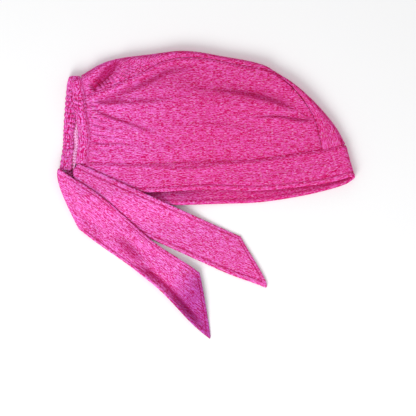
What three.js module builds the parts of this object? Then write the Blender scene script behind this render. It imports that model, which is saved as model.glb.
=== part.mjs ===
// A jersey bandana cap, laid flat on its side with its two ties spread in front of it.
// Millimetres. +X points from the nape to the brow, +Y from the hem to the crown, and +Z up.
// The far half of the cap lies on the ground, the near half lies over it, and the head space is between them.
import * as THREE from "three";

// Driving dimensions.
const capLength = 254.7; // nape to brow, laid flat
const capHeight = 134.3; // far hem to the crown fold
const layHeight = 10.3; // top of the near band above the ground
const puffHeight = 2.6; // how far the middle of the near side stands above its seams
const clothThickness = 0.9; // one ply of jersey
const seamGap = 0.3; // clearance between pieces that are sewn together
const bandWidth = 27; // hem to band seam at the middle of the cap
const frontRoll = 5.2; // how far the band's turn at the brow reaches back
const browBow = 1.6; // how far the hem bows forward there
const crownRoll = 6; // the same for the crown panel's turn at the top
const casingWidth = 10.6; // the channel round the nape
const casingThickness = 3.2; // the channel, wall to wall
const casingWall = 0.8;
const casingProud = 1.3; // how far the channel stands above the near band
const casingRoll = 5.6; // how far its turn at the top of the nape reaches
const casingEnd = 2.3; // how far above the band seam its lower end stays
const elasticWidth = 7.5;
const elasticThickness = 1;
const tieWidth = 33.5; // near tie, edge to edge
const tieThickness = 1.6; // a tie is a folded strip, two plies and its turnings
const nearTieLength = 194.6; // root to point
const nearTieHinge = 104; // from the root to where the free end lifts
const nearTieRootSlant = 24; // how far its lower edge starts short of its upper edge
const nearTieAngle = -24.3; // degrees from +X
const tieSlant = 41.3; // how much longer a tie is along its lower edge
const farTieLength = 195.3; // fold to point
const farTieAngle = -38;
const farTieWidth = 30.6; // at the fold
const farTieFlare = 7.2; // how much wider the far tie spreads near its point
const foldSlant = 46; // length of tie that the slanting fold takes up
const foldRoll = 6; // how far the tie's turn reaches along it
const tieGap = 0.7; // between the near tie and the far tie that lies across it
const tieTaper = 2.6; // how much the near tie narrows near its point
const tieCorner = 2.6; // how far the corner at its point is cut back
const farTieBow = 1.8; // how far the far tie's upper edge bows in and out
const farTieBowLength = 105; // from one bow to the next
const dropLength = 28; // the ties come down from the near band to the ground over this length

const backX = -0.492 * capLength;
const hemY = -8.9;
const clothColour = 0xd9399a;
const liningColour = 0xe58cc6;
const elasticColour = 0xf3edf2;

// Places on the cap are shares of its length and height.
const across = (share) => backX + share * capLength;
const up = (share) => hemY + share * capHeight;
const place = ([u, v]) => new THREE.Vector2(across(u), up(v));
const curveThrough = (...shares) => new THREE.SplineCurve(shares.map(place));

const { lerp, smoothstep } = THREE.MathUtils;
const ease = (from, to, value) => smoothstep(value, from, to);

// Where a curve that runs along one axis has the value `at` on it: the other coordinate.
function follow(curve, at, key = "x", other = "y") {
  let low = 0;
  let high = 1;
  const rising = curve.getPoint(1)[key] > curve.getPoint(0)[key];
  for (let step = 0; step < 30; step += 1) {
    const middle = (low + high) / 2;
    if (curve.getPoint(middle)[key] < at === rising) low = middle;
    else high = middle;
  }
  return curve.getPoint(low)[other];
}

// One closed cloth solid from its two skins, each a grid of points, walled along its edges.
// With `ring` the grid's columns close on themselves, as round a channel.
function shell(outer, inner, ring = false) {
  const rows = outer.length;
  const columns = outer[0].length;
  const points = [...outer.flat(), ...inner.flat()];
  const at = (i, j, skin) => skin * rows * columns + i * columns + (j % columns);
  const faces = [];
  const quad = (a, b, c, d) => faces.push(a, b, c, a, c, d);
  const lastColumn = ring ? columns : columns - 1;
  for (let i = 0; i < rows - 1; i += 1) {
    for (let j = 0; j < lastColumn; j += 1) {
      quad(at(i, j, 0), at(i + 1, j, 0), at(i + 1, j + 1, 0), at(i, j + 1, 0));
      quad(at(i, j, 1), at(i, j + 1, 1), at(i + 1, j + 1, 1), at(i + 1, j, 1));
    }
    if (ring) continue;
    quad(at(i, 0, 0), at(i, 0, 1), at(i + 1, 0, 1), at(i + 1, 0, 0));
    const j = columns - 1;
    quad(at(i, j, 0), at(i + 1, j, 0), at(i + 1, j, 1), at(i, j, 1));
  }
  for (let j = 0; j < lastColumn; j += 1) {
    quad(at(0, j, 0), at(0, j + 1, 0), at(0, j + 1, 1), at(0, j, 1));
    const i = rows - 1;
    quad(at(i, j, 0), at(i, j, 1), at(i, j + 1, 1), at(i, j + 1, 0));
  }
  const geometry = new THREE.BufferGeometry().setFromPoints(points);
  geometry.setIndex(volumeOf(points, faces) < 0 ? faces.reverse() : faces);
  geometry.computeVertexNormals();
  return geometry;
}

function volumeOf(points, faces) {
  const cross = new THREE.Vector3();
  let volume = 0;
  for (let f = 0; f < faces.length; f += 3) {
    const [a, b, c] = [faces[f], faces[f + 1], faces[f + 2]].map((k) => points[k]);
    volume += a.dot(cross.crossVectors(b, c));
  }
  return volume;
}

// A grid of points from a function of two shares.
const grid = (rows, columns, point) =>
  Array.from({ length: rows + 1 }, (_, i) =>
    Array.from({ length: columns + 1 }, (_, j) => point(i / rows, j / columns)));

const at3 = (flat, z) => new THREE.Vector3(flat.x, flat.y, z);

// ---- the cap's lines ----

const nearHem = curveThrough([0.052, 0.096], [0.274, 0.082], [0.501, 0.102], [0.676, 0.095],
  [0.882, 0.136], [0.994, 0.191]);
const farHem = curveThrough([0.095, 0.005], [0.361, 0], [0.539, 0.008], [0.676, 0.019],
  [0.813, 0.058], [0.917, 0.104], [0.978, 0.145], [0.996, 0.189]);
const bandRise = (x) => bandWidth * (0.92 + 0.19 * ease(across(0.5), across(0.85), x));
const bandSeam = (x) => follow(nearHem, x) + bandRise(x);
const onBandSeam = (share) => [share, (bandSeam(across(share)) - hemY) / capHeight];

const crownSeamStart = 0.708;
const casingTop = 0.785;
const casingLean = 1.2; // how far the casing leans back as it turns over
const aboveBand = (fromBack) => onBandSeam(fromBack / capLength)[1] + casingEnd / capHeight;
const nearCasingLine = [[17, aboveBand(17)], [19.5, 0.424], [18.5, 0.513], [17, 0.58],
  [14.8, crownSeamStart], [13, casingTop]];
const farCasingLine = [[8.3, casingTop], [6.6, 0.617], [5.4, 0.483], [4.9, 0.364], [2.9, 0.252]];
const casingPlace = ([fromBack, share]) => new THREE.Vector2(backX + fromBack, up(share));
const nearCasingCurve = new THREE.SplineCurve(nearCasingLine.map(casingPlace));
const farCasingCurve = new THREE.SplineCurve(farCasingLine.map(casingPlace));
const casingEdge = (curve, y) => follow(curve, y, "y", "x") + casingWidth / 2;

// The crown panel starts beside the casing, in line with it.
const besideCasing = (share, gap) =>
  [(casingEdge(nearCasingCurve, up(share)) + gap - backX) / capLength, share];
const foldBack = [besideCasing(casingTop, -casingLean)[0], 0.846];
const topFold = curveThrough(foldBack, [0.1, 0.883], [0.17, 0.942], [0.3, 0.978],
  [0.419, 1], [0.539, 0.968], [0.666, 0.919], [0.744, 0.844], [0.84, 0.708],
  [0.922, 0.54], onBandSeam(0.97));
const crownSeam = curveThrough(besideCasing(crownSeamStart, 0.5), [0.158, 0.762],
  [0.265, 0.853], [0.36, 0.939], [0.471, 0.953], [0.609, 0.906], [0.701, 0.875],
  [0.788, 0.757], [0.858, 0.568], onBandSeam(0.885));
const crownSeamCorner = 0.78; // share of the seam from its back to where it turns down at the brow

// A point beside the crown seam, `inset` towards the side panel.
function besideSeam(share, inset) {
  const along = crownSeam.getTangent(share);
  return crownSeam.getPoint(share).add(new THREE.Vector2(along.y, -along.x).multiplyScalar(inset));
}

// ---- side panels ----

// A patch between four edges, each a function of a share.
function patch(bottom, top, left, right) {
  return (u, v) => {
    const point = bottom(u).multiplyScalar(1 - v).addScaledVector(top(u), v);
    point.addScaledVector(left(v), 1 - u).addScaledVector(right(v), u);
    point.addScaledVector(bottom(0), -(1 - u) * (1 - v)).addScaledVector(bottom(1), -u * (1 - v));
    return point.addScaledVector(top(0), -(1 - u) * v).addScaledVector(top(1), -u * v);
  };
}

// The far half's crown seam runs further back towards the nape than the near half's.
const farShift = 7.4;
const farSeamShift = (share) => farShift * (1 - share) ** 8;

function sidePanelPlan(casingCurve, seamShift) {
  const low = bandSeam(casingEdge(casingCurve, up(0.3)) + seamGap) + seamGap;
  const backTop = besideSeam(0, seamGap);
  backTop.x -= seamShift(0);
  const left = (v) => {
    const y = lerp(low, backTop.y, v);
    const edge = casingEdge(casingCurve, y) + seamGap;
    return new THREE.Vector2(Math.max(edge, lerp(edge, backTop.x, v ** 4)), y);
  };
  const brow = besideSeam(1, seamGap);
  const bottom = (u) => {
    const x = lerp(left(0).x, brow.x, u);
    return new THREE.Vector2(x, bandSeam(x) + seamGap);
  };
  const top = (u) => {
    const point = besideSeam(u * crownSeamCorner, seamGap);
    point.x -= seamShift(u * crownSeamCorner);
    return point;
  };
  const right = (v) => {
    const point = besideSeam(lerp(1, crownSeamCorner, v), seamGap);
    if (v === 0) point.copy(bottom(1));
    return point;
  };
  return patch(bottom, top, (v) => (v === 1 ? top(0) : left(v)), right);
}

function nearSidePanel() {
  const plan = sidePanelPlan(nearCasingCurve, () => 0);
  const skin = (top) => grid(26, 10, (u, v) => {
    const puff = puffHeight * Math.sin(Math.PI * u) * Math.sin(Math.PI * v);
    return at3(plan(u, v), top + puff);
  });
  return shell(skin(layHeight), skin(layHeight - clothThickness));
}

function farSidePanel() {
  const plan = sidePanelPlan(farCasingCurve, farSeamShift);
  const skin = (height) => grid(20, 8, (u, v) => at3(plan(u, v), height));
  return shell(skin(clothThickness), skin(0));
}

// ---- crown panel: a strip from nape to brow, folded over along the top ----

function crownPanel() {
  const stations = 34;
  const legSteps = 3;
  const turnSteps = 8;
  const front = (point) => {
    const floor = bandSeam(point.x) + seamGap;
    if (point.y < floor) point.y = floor;
    return point;
  };
  const section = (share, inset) => {
    const seam = front(crownSeam.getPoint(share));
    const fold = front(topFold.getPoint(share));
    const reach = seam.distanceTo(fold);
    const roll = Math.min(crownRoll, 0.95 * reach);
    const out = fold.clone().sub(seam).normalize();
    const turn = fold.clone().addScaledVector(out, -roll);
    const farSeam = seam.clone();
    farSeam.x -= farSeamShift(share);
    const half = layHeight / 2;
    const points = [];
    for (let k = 0; k < legSteps; k += 1)
      points.push(at3(seam.clone().lerp(turn, k / legSteps), layHeight - inset));
    for (let k = 0; k <= turnSteps; k += 1) {
      const angle = (Math.PI * k) / turnSteps;
      const flat = turn.clone().addScaledVector(out, (roll - inset) * Math.sin(angle));
      points.push(at3(flat, half + (half - inset) * Math.cos(angle)));
    }
    for (let k = 1; k <= legSteps; k += 1)
      points.push(at3(turn.clone().lerp(farSeam, k / legSteps), inset));
    return points;
  };
  const skin = (inset) =>
    Array.from({ length: stations + 1 }, (_, i) => section(i / stations, inset));
  return shell(skin(0), skin(clothThickness));
}

// ---- front band and its lining: a strip round the brow, from one end of the casing to the other ----

const bandFront = (v) => across(0.97 + 0.03 * v);
const nearBandEnd = across(0.052);
const farBandEnd = across(0.095);

function bandStrip(outerInset, innerInset) {
  const strips = 5;
  const legSteps = 22;
  const turnSteps = 8;
  const half = layHeight / 2;
  const nearY = (x, v) => lerp(bandSeam(x) - seamGap / 2, follow(nearHem, x), v);
  const farY = (x, v) => lerp(bandSeam(x) - seamGap / 2, follow(farHem, x), v);
  const line = (v, inset) => {
    const turnX = bandFront(v) - frontRoll;
    const points = [];
    for (let k = 0; k < legSteps; k += 1) {
      const x = lerp(nearBandEnd, turnX, k / legSteps);
      points.push(new THREE.Vector3(x, nearY(x, v), layHeight - inset));
    }
    for (let k = 0; k <= turnSteps; k += 1) {
      const angle = (Math.PI * k) / turnSteps;
      const y = lerp(nearY(turnX, v), farY(turnX, v), k / turnSteps);
      const tip = Math.sin(angle) * browBow * v;
      const x = turnX + (frontRoll - inset) * Math.sin(angle);
      points.push(new THREE.Vector3(x, y + tip, half + (half - inset) * Math.cos(angle)));
    }
    for (let k = 1; k <= legSteps; k += 1) {
      const x = lerp(turnX, farBandEnd, k / legSteps);
      points.push(new THREE.Vector3(x, farY(x, v), inset));
    }
    return points;
  };
  const skin = (inset) => Array.from({ length: strips + 1 }, (_, i) => line(i / strips, inset));
  return shell(skin(outerInset), skin(innerInset));
}

const frontBand = () => bandStrip(0, clothThickness);
const liningInset = clothThickness + seamGap;
const bandLining = () => bandStrip(liningInset, liningInset + clothThickness);

// ---- back casing and its elastic: up the near side, over the top of the nape and down the far side ----

// The middle of the channel: up the near side, over in a half turn and down the far side.
function casingPoint(share) {
  const nearZ = layHeight + casingProud - casingThickness / 2;
  const farZ = casingThickness / 2;
  const [turnFrom, turnTo] = [0.44, 0.56];
  if (share <= turnFrom) return at3(nearCasingCurve.getPoint(share / turnFrom), nearZ);
  if (share >= turnTo) return at3(farCasingCurve.getPoint((share - turnTo) / (1 - turnTo)), farZ);
  const turn = (share - turnFrom) / (turnTo - turnFrom);
  const flat = nearCasingCurve.getPoint(1).lerp(farCasingCurve.getPoint(0), turn);
  flat.y += casingRoll * Math.sin(Math.PI * turn);
  return at3(flat, (nearZ + farZ) / 2 + ((nearZ - farZ) / 2) * Math.cos(Math.PI * turn));
}

// A rectangle of that width and thickness at each station along the casing.
function casingSections(width, thickness, from = 0, to = 1) {
  const stations = 50;
  const step = 0.004;
  const side = new THREE.Vector3(1, 0, 0);
  return Array.from({ length: stations + 1 }, (_, i) => {
    const share = lerp(from, to, i / stations);
    const along = casingPoint(Math.min(share + step, 1)).sub(casingPoint(Math.max(share - step, 0)));
    const normal = new THREE.Vector3().crossVectors(side, along).normalize();
    return [[1, 1], [-1, 1], [-1, -1], [1, -1]].map(([s, n]) => casingPoint(share)
      .addScaledVector(side, (s * width) / 2)
      .addScaledVector(normal, (n * thickness) / 2));
  });
}

function backCasing() {
  const outer = casingSections(casingWidth, casingThickness);
  const inner = casingSections(casingWidth - 2 * casingWall, casingThickness - 2 * casingWall);
  return shell(outer, inner, true);
}

function backElastic() {
  const sections = casingSections(elasticWidth, elasticThickness, 0.01, 0.99);
  const top = sections.map(([a, b]) => [a, b]);
  const bottom = sections.map(([, , c, d]) => [d, c]);
  return shell(top, bottom);
}

// ---- ties ----

const tieFrame = (root, degrees) => {
  const turn = THREE.MathUtils.degToRad(degrees);
  const along = new THREE.Vector2(Math.cos(turn), Math.sin(turn));
  const side = new THREE.Vector2(-along.y, along.x);
  return (length, offset) =>
    root.clone().addScaledVector(along, length).addScaledVector(side, offset);
};

const nearTieRoot = new THREE.Vector2(nearBandEnd + 1.8, bandSeam(nearBandEnd) - 2.2);
const nearTiePlace = tieFrame(nearTieRoot, nearTieAngle);
const nearTieUnder = (y) => {
  const hem = up(0.07);
  return (layHeight + seamGap) * ease(hem - dropLength, hem, y);
};
const nearTieRootEdge = (w) => nearTieRootSlant * w ** 1.2;
const nearTieEnd = (w) =>
  nearTieLength - tieSlant * (1 - w) ** 1.15 - tieCorner * w ** 10;
const nearTieSide = (length, w) =>
  -w * (tieWidth - tieTaper * ease(0.77 * nearTieLength, nearTieLength, length));

function nearTieStrip(from, to, steps) {
  const skin = (lift) => grid(steps, 6, (t, w) => {
    const length = lerp(from(w), to(w), t);
    const flat = nearTiePlace(length, nearTieSide(length, w));
    return at3(flat, nearTieUnder(flat.y) + lift);
  });
  return shell(skin(tieThickness), skin(0));
}

const nearTieRootPart = () => nearTieStrip(nearTieRootEdge, () => nearTieHinge - seamGap, 20);
const nearTieEndPart = () => nearTieStrip(() => nearTieHinge + seamGap, nearTieEnd, 14);

const farTieRoot = new THREE.Vector2(across(-0.0137), up(0.2383));
const farTiePlace = tieFrame(farTieRoot, farTieAngle);
const farTieFoldEdge = (w) => foldSlant * w ** 1.6;
const farTieHinge = (w) => foldRoll + foldSlant * w;
const farTieEnd = (w) => farTieLength - (1 - w) * tieSlant * 1.04 + 3 * w * (1 - w ** 5);
const farTieWave = (length) =>
  2 + farTieBow * Math.cos((2 * Math.PI * (length - 48)) / farTieBowLength);
function farTieSide(length, w) {
  const lower = -farTieWidth + 2 * ease(60, 110, length) - farTieFlare * ease(125, 190, length);
  return lerp(farTieWave(length), lower, w);
}

// How much of the near tie lies under a point: 1 over the tie, falling to 0 past its lower edge.
function overNearTie(flat) {
  const turn = THREE.MathUtils.degToRad(nearTieAngle);
  const offset = (flat.y - nearTieRoot.y) * Math.cos(turn) - (flat.x - nearTieRoot.x) * Math.sin(turn);
  return ease(-tieWidth - 14, -tieWidth - 2, offset);
}

// The underside of the top layer along the hinge line, which slopes evenly from one tie edge to the other.
const farFoldUnder = (w) =>
  lerp(layHeight + seamGap + tieThickness + tieGap, tieThickness + 2 * seamGap, w);

function farTieUnder(flat) {
  const overTie = nearTieUnder(flat.y) + overNearTie(flat) * (tieThickness + tieGap);
  const overOwnRoot = (tieThickness + seamGap) * (1 - ease(farBandEnd, farBandEnd + 9, flat.x));
  return Math.max(overTie, overOwnRoot);
}

// The under layer from the far band's end to the fold, the turn at the fold, and the top layer up to the hinge.
function farTieRootPart() {
  const rows = 16;
  const turnSteps = 8;
  const section = (w, inset) => {
    const sewn = new THREE.Vector2(farBandEnd - seamGap, lerp(bandSeam(farBandEnd) - 1, hemY, w));
    const turnAt = farTieFoldEdge(w) + foldRoll;
    const turn = farTiePlace(turnAt, farTieSide(turnAt, w));
    const top = farFoldUnder(w) + tieThickness;
    const half = top / 2;
    const points = [];
    for (let k = 0; k < 3; k += 1)
      points.push(at3(sewn.clone().lerp(turn, k / 3), inset));
    for (let k = 0; k <= turnSteps; k += 1) {
      const angle = (Math.PI * k) / turnSteps;
      const length = turnAt - (foldRoll - inset) * Math.sin(angle);
      const flat = farTiePlace(length, farTieSide(length, w));
      points.push(at3(flat, half - (half - inset) * Math.cos(angle)));
    }
    for (let k = 1; k <= 2; k += 1) {
      const length = lerp(turnAt, farTieHinge(w) + seamGap, k / 2);
      points.push(at3(farTiePlace(length, farTieSide(length, w)), top - inset));
    }
    return points;
  };
  const skin = (inset) => Array.from({ length: rows + 1 }, (_, i) => section(i / rows, inset));
  return shell(skin(0), skin(tieThickness));
}

function farTieRun() {
  const hingeGap = 1.6;
  const settleLength = 8; // the slope at the hinge gives way to the drape over this length
  const skin = (lift) => grid(30, 8, (t, w) => {
    const start = farTieHinge(w) + hingeGap;
    const length = lerp(start, farTieEnd(w), t);
    const flat = farTiePlace(length, farTieSide(length, w));
    const settled = ease(0, settleLength, length - start);
    return at3(flat, lerp(farFoldUnder(w), farTieUnder(flat), settled) + lift);
  });
  return shell(skin(tieThickness), skin(0));
}

// ---- the assembly ----

function piece(name, geometry, colour, roughness = 0.9) {
  const material = new THREE.MeshStandardMaterial({ color: colour, roughness, metalness: 0 });
  const mesh = new THREE.Mesh(geometry, material);
  mesh.name = name;
  return mesh;
}

const cap = new THREE.Group();
cap.add(
  piece("near_side_panel", nearSidePanel(), clothColour),
  piece("far_side_panel", farSidePanel(), clothColour),
  piece("crown_panel", crownPanel(), clothColour),
  piece("front_band", frontBand(), clothColour),
  piece("band_lining", bandLining(), liningColour),
  piece("back_casing", backCasing(), clothColour),
  piece("back_elastic", backElastic(), elasticColour),
);

const nearTie = new THREE.Group();
nearTie.add(
  piece("near_tie_root", nearTieRootPart(), clothColour),
  piece("near_tie_end", nearTieEndPart(), clothColour),
);

const farTie = new THREE.Group();
farTie.add(
  piece("far_tie_root", farTieRootPart(), clothColour),
  piece("far_tie_run", farTieRun(), clothColour),
);

// The origin is under the middle of the whole object, on the ground.
const bandanaCap = new THREE.Group();
bandanaCap.add(cap, nearTie, farTie);
const middle = new THREE.Box3().setFromObject(bandanaCap).getCenter(new THREE.Vector3());
bandanaCap.position.set(-middle.x, -middle.y, 0);

export default bandanaCap;
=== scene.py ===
"""A jersey bandana cap laid flat on its side, with its stitching and its two ties.

Lengths in this file are in millimetres unless a property says otherwise, and every mesh is made in metres.
"""
import math

import bpy
import numpy as np
from bpy.props import FloatProperty, FloatVectorProperty, IntProperty, PointerProperty
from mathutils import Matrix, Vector


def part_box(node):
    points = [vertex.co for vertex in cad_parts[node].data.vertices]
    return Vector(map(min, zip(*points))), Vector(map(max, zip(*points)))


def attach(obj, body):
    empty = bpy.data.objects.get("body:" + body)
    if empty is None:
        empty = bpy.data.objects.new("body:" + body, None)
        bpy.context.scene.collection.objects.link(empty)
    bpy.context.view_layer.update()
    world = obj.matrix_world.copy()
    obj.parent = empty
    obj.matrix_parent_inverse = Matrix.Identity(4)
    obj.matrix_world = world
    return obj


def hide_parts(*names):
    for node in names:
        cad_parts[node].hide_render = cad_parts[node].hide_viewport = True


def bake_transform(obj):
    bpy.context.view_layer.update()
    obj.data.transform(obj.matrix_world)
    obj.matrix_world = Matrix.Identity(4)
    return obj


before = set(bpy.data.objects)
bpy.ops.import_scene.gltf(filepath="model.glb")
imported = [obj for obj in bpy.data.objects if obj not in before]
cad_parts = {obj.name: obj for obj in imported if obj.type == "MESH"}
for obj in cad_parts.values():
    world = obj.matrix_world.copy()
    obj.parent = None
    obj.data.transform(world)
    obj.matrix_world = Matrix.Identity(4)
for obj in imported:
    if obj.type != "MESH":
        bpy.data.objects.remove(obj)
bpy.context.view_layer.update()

bl_info = {
    "name": "Jersey bandana cap",
    "version": (1, 0, 0),
    "blender": (4, 5, 0),
    "location": "View3D > Sidebar > Bandana cap",
    "description": "A jersey bandana cap laid flat, with its stitching and its two ties",
    "category": "Add Mesh",
}

MM = 0.001

# The frame's own sizes.
BAND_LOW, BAND_HIGH = (np.array(corner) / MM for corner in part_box("front_band"))
CROWN_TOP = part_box("crown_panel")[1].y / MM
CASING_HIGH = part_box("back_casing")[1].z / MM
# Where the band's two ends lie, as shares of the cap's length.
NEAR_END_SHARE = 0.052
FAR_END_SHARE = 0.095
LENGTH = (BAND_HIGH[0] - BAND_LOW[0]) / (1 - NEAR_END_SHARE)
BACK = BAND_HIGH[0] - LENGTH
HEM = BAND_LOW[1]
HEIGHT = CROWN_TOP - HEM
LAY = BAND_HIGH[2]  # top of the near band above the ground

BAND_WIDTH = 27
FRONT_ROLL = 5.2  # how far the band's turn at the brow reaches back
CROWN_ROLL = 6  # how far the crown panel's turn at the top reaches down
CASING_WIDTH = 10.6
CASING_THICKNESS = 3.2
CASING_ROLL = 5.6  # how far the casing's turn reaches past its two legs
CASING_END = 3.4  # how far both its ends carry on towards the hem
CASING_WALL = 0.8
PUFF = 2.6  # how far the middle of the near side stands above its seams
TIE_WIDTH = 33.5
NEAR_TIE_LENGTH = 194.6
NEAR_TIE_ANGLE = math.radians(-24.3)
TIE_TAPER = 2.6  # how much narrower and blunter the near tie's point is
TIE_SLANT = 41.3  # how much shorter a tie's upper edge is than its lower one
FAR_TIE_LENGTH = 195.3
FAR_TIE_ANGLE = math.radians(-38)
FAR_TIE_WIDTH = 30.6
FAR_TIE_FLARE = 7.2  # how much wider the far tie is near its point
FOLD_SLANT = 46  # how much further along the far tie its fold lies at the lower edge
FOLD_ROLL = 6
TIE_GAP = 0.7  # between the near tie and the far tie across it
DROP = 28  # how far below the hem a tie has come down to the ground
SEAM_OVERLAP = 0.7  # how far a panel's edge goes under the casing
FAR_END_RISE = 6.5  # how far the far casing's lower end stands off the ground
SEAM_GAP = 0.3
STITCH_INSET = 3.8  # topstitching, from the edge of a tie or hem
LINING_STITCH_INSET = 3.4

# Rows of stitches to sew, by the body that they go with.
THREAD_ROWS = {"cap": [], "near_tie": [], "far_tie": []}


# ---- plan lines ----

def across(share):
    """X at a share of the cap's length, from the nape."""
    return BACK + np.asarray(share, float) * LENGTH


def up(share):
    """Y at a share of the cap's height, from the hem."""
    return HEM + np.asarray(share, float) * HEIGHT


def ease(start, stop, value):
    """0 before start, 1 after stop, and smooth between."""
    t = np.clip((np.asarray(value, float) - start) / (stop - start), 0, 1)
    return t * t * (3 - 2 * t)


def mix(a, b, share):
    """a at share 0, b at share 1, and in between in proportion."""
    return a + (b - a) * share


def bell(distance, width):
    """1 at distance 0, falling smoothly to nearly 0 at twice the width."""
    return np.exp(-((distance / width) ** 2))


class Curve:
    """A smooth plan line through points, read at shares from 0 to 1."""

    def __init__(self, points):
        self.points = np.array(points, float)

    def __call__(self, share):
        """Points at those shares, on cubics that pass smoothly through the curve's own points."""
        last = len(self.points) - 1
        place = np.clip(np.asarray(share, float), 0, 1) * last
        i = np.minimum(place.astype(int), last - 1)
        w = (place - i)[..., None]
        before = self.points[np.maximum(i - 1, 0)]
        a = self.points[i]
        b = self.points[i + 1]
        after = self.points[np.minimum(i + 2, last)]
        leave = (b - before) / 2
        arrive = (after - a) / 2
        cubic = 2 * a - 2 * b + leave + arrive
        square = 3 * b - 3 * a - 2 * leave - arrive
        return cubic * w**3 + square * w**2 + leave * w + a

    def tangent(self, share, step=1e-4):
        share = np.asarray(share, float)
        along = self(np.minimum(share + step, 1)) - self(np.maximum(share - step, 0))
        return along / np.linalg.norm(along, axis=-1, keepdims=True)

    def beside(self, share, inset):
        """Points off the curve, to the right of its direction by inset."""
        along = self.tangent(share)
        return self(share) + inset * np.stack([along[..., 1], -along[..., 0]], -1)

    def follow(self, at, key=0):
        """The curve's other coordinate where its coordinate `key` is `at`."""
        line = self(np.linspace(0, 1, 1500))
        line = line[np.argsort(line[:, key])]
        return np.interp(at, line[:, key], line[:, 1 - key])


def cap_curve(*shares):
    shares = np.array(shares, float)
    return Curve(np.stack([across(shares[:, 0]), up(shares[:, 1])], -1))


NEAR_HEM = cap_curve(
    (NEAR_END_SHARE, 0.096), (0.274, 0.082), (0.501, 0.102), (0.676, 0.095), (0.882, 0.136), (0.994, 0.191))
FAR_HEM = cap_curve(
    (FAR_END_SHARE, 0.005), (0.361, 0), (0.539, 0.008), (0.676, 0.019), (0.813, 0.058), (0.917, 0.104),
    (0.978, 0.145), (0.996, 0.189))


def band_seam(x):
    """Y of the seam between the band and the cap's sides."""
    rise = BAND_WIDTH * (0.92 + 0.19 * ease(across(0.5), across(0.85), x))
    return NEAR_HEM.follow(x) + rise


def on_band_seam(share):
    return (share, float(band_seam(across(share)) - HEM) / HEIGHT)


# Heights on the casing, as shares of the cap's height, and its foot's distance from the nape.
CROWN_SEAM_START = 0.708
CASING_TOP = 0.785
CASING_FOOT_X = 17
CASING_FOOT = on_band_seam(CASING_FOOT_X / LENGTH)[1] + 2.3 / HEIGHT
CASING_LEAN = 1.2  # how far the crown panel's fold goes under the casing


def casing_line(*points):
    """A line through points given by their distance from the nape and their share of the height."""
    return Curve([(BACK + x, up(y)) for x, y in points])


NEAR_CASING = casing_line(
    (CASING_FOOT_X, CASING_FOOT), (19.5, 0.424), (18.5, 0.513), (17, 0.58), (14.8, CROWN_SEAM_START),
    (13, CASING_TOP))
FAR_CASING = casing_line((8.3, CASING_TOP), (6.6, 0.617), (5.4, 0.483), (4.9, 0.364), (2.9, 0.252))


def casing_edge(curve, y):
    """X of the casing's edge on the side of the panels."""
    return curve.follow(y, 1) + CASING_WIDTH / 2


def beside_casing(share, gap):
    """A point beside the casing at a share of the height, in shares of the cap's length and height."""
    return ((float(casing_edge(NEAR_CASING, up(share))) + gap - BACK) / LENGTH, share)


TOP_FOLD = cap_curve(
    (beside_casing(CASING_TOP, -CASING_LEAN)[0], 0.846), (0.1, 0.883), (0.17, 0.942), (0.3, 0.978),
    (0.419, 1), (0.539, 0.968), (0.666, 0.919), (0.744, 0.844), (0.84, 0.708), (0.922, 0.54),
    on_band_seam(0.97))
CROWN_SEAM = cap_curve(
    beside_casing(CROWN_SEAM_START, 0.5), (0.158, 0.762), (0.265, 0.853), (0.36, 0.939),
    (0.471, 0.953), (0.609, 0.906), (0.701, 0.875), (0.788, 0.757), (0.858, 0.568), on_band_seam(0.885))
CROWN_SEAM_CORNER = 0.78  # where the side panels' upper edge becomes their brow edge


def above_band(curve, gap):
    """The share at which a line that comes down to the band seam is still gap above it."""
    shares = np.linspace(0.8, 1, 2000)
    line = curve(shares)
    return float(shares[line[:, 1] > band_seam(line[:, 0]) + gap][-1])


FAR_SHIFT = 7.4  # how much further back the far half's crown seam starts


def far_seam_shift(share):
    return FAR_SHIFT * (1 - share) ** 8


def no_shift(share):
    return 0.0 * share


# ---- small shapes that the cloth takes ----

def value_noise(x, y, seed):
    """Smooth noise from -1 to 1, about one bump for each unit of x and y."""
    size = 64
    table = np.random.default_rng(seed).random((size, size)) * 2 - 1
    i, j = np.floor(x).astype(int), np.floor(y).astype(int)
    s, t = ease(0, 1, x - i), ease(0, 1, y - j)
    low = mix(table[i % size, j % size], table[(i + 1) % size, j % size], s)
    high = mix(table[i % size, (j + 1) % size], table[(i + 1) % size, (j + 1) % size], s)
    return mix(low, high, t)


def off_line(x, y, points):
    """Signed distance from a smooth line through points, left of it positive, and the share along it."""
    shares = np.linspace(0, 1, 60)
    curve = Curve(points)
    line, along = curve(shares), curve.tangent(shares)
    dx = x[..., None] - line[:, 0]
    dy = y[..., None] - line[:, 1]
    nearest = np.argmin(dx**2 + dy**2, -1)
    ax, ay = along[nearest, 0], along[nearest, 1]
    near_dx, near_dy = (np.take_along_axis(d, nearest[..., None], -1)[..., 0] for d in (dx, dy))
    signed = ax * near_dy - ay * near_dx
    past = np.abs(ax * near_dx + ay * near_dy)
    return np.sign(signed) * np.hypot(signed, past), shares[nearest]


def fade_at_ends(share):
    """Nearly 0 at both ends of a line and 1 in its middle."""
    return np.sin(np.pi * np.clip(share, 0.02, 0.98)) ** 0.7


def step_fold(x, y, points, height, soft, reach):
    """A soft fold: the cloth stands up on the right of a line and sinks on its left."""
    off, share = off_line(x, y, points)
    return -height * np.tanh(off / soft) * bell(off, reach) * fade_at_ends(share)


def ridge(x, y, points, height, width):
    """A ridge along a line, or a crease where height is below 0."""
    off, share = off_line(x, y, points)
    return height * bell(off, width) * fade_at_ends(share)


def pleats(place, sharpness=1.6):
    """Pleats from -1 to 1, one for each unit of place: round crests and narrow valleys."""
    wave = 0.5 + 0.5 * np.cos(2 * np.pi * place)
    return 2 * wave ** (1 / sharpness) - 1


def nape_share(x):
    """1 at the nape, where the cloth is lilac, and 0 towards the brow."""
    return 1 - ease(-95, 10, x)


# ---- cloth ----

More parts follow.
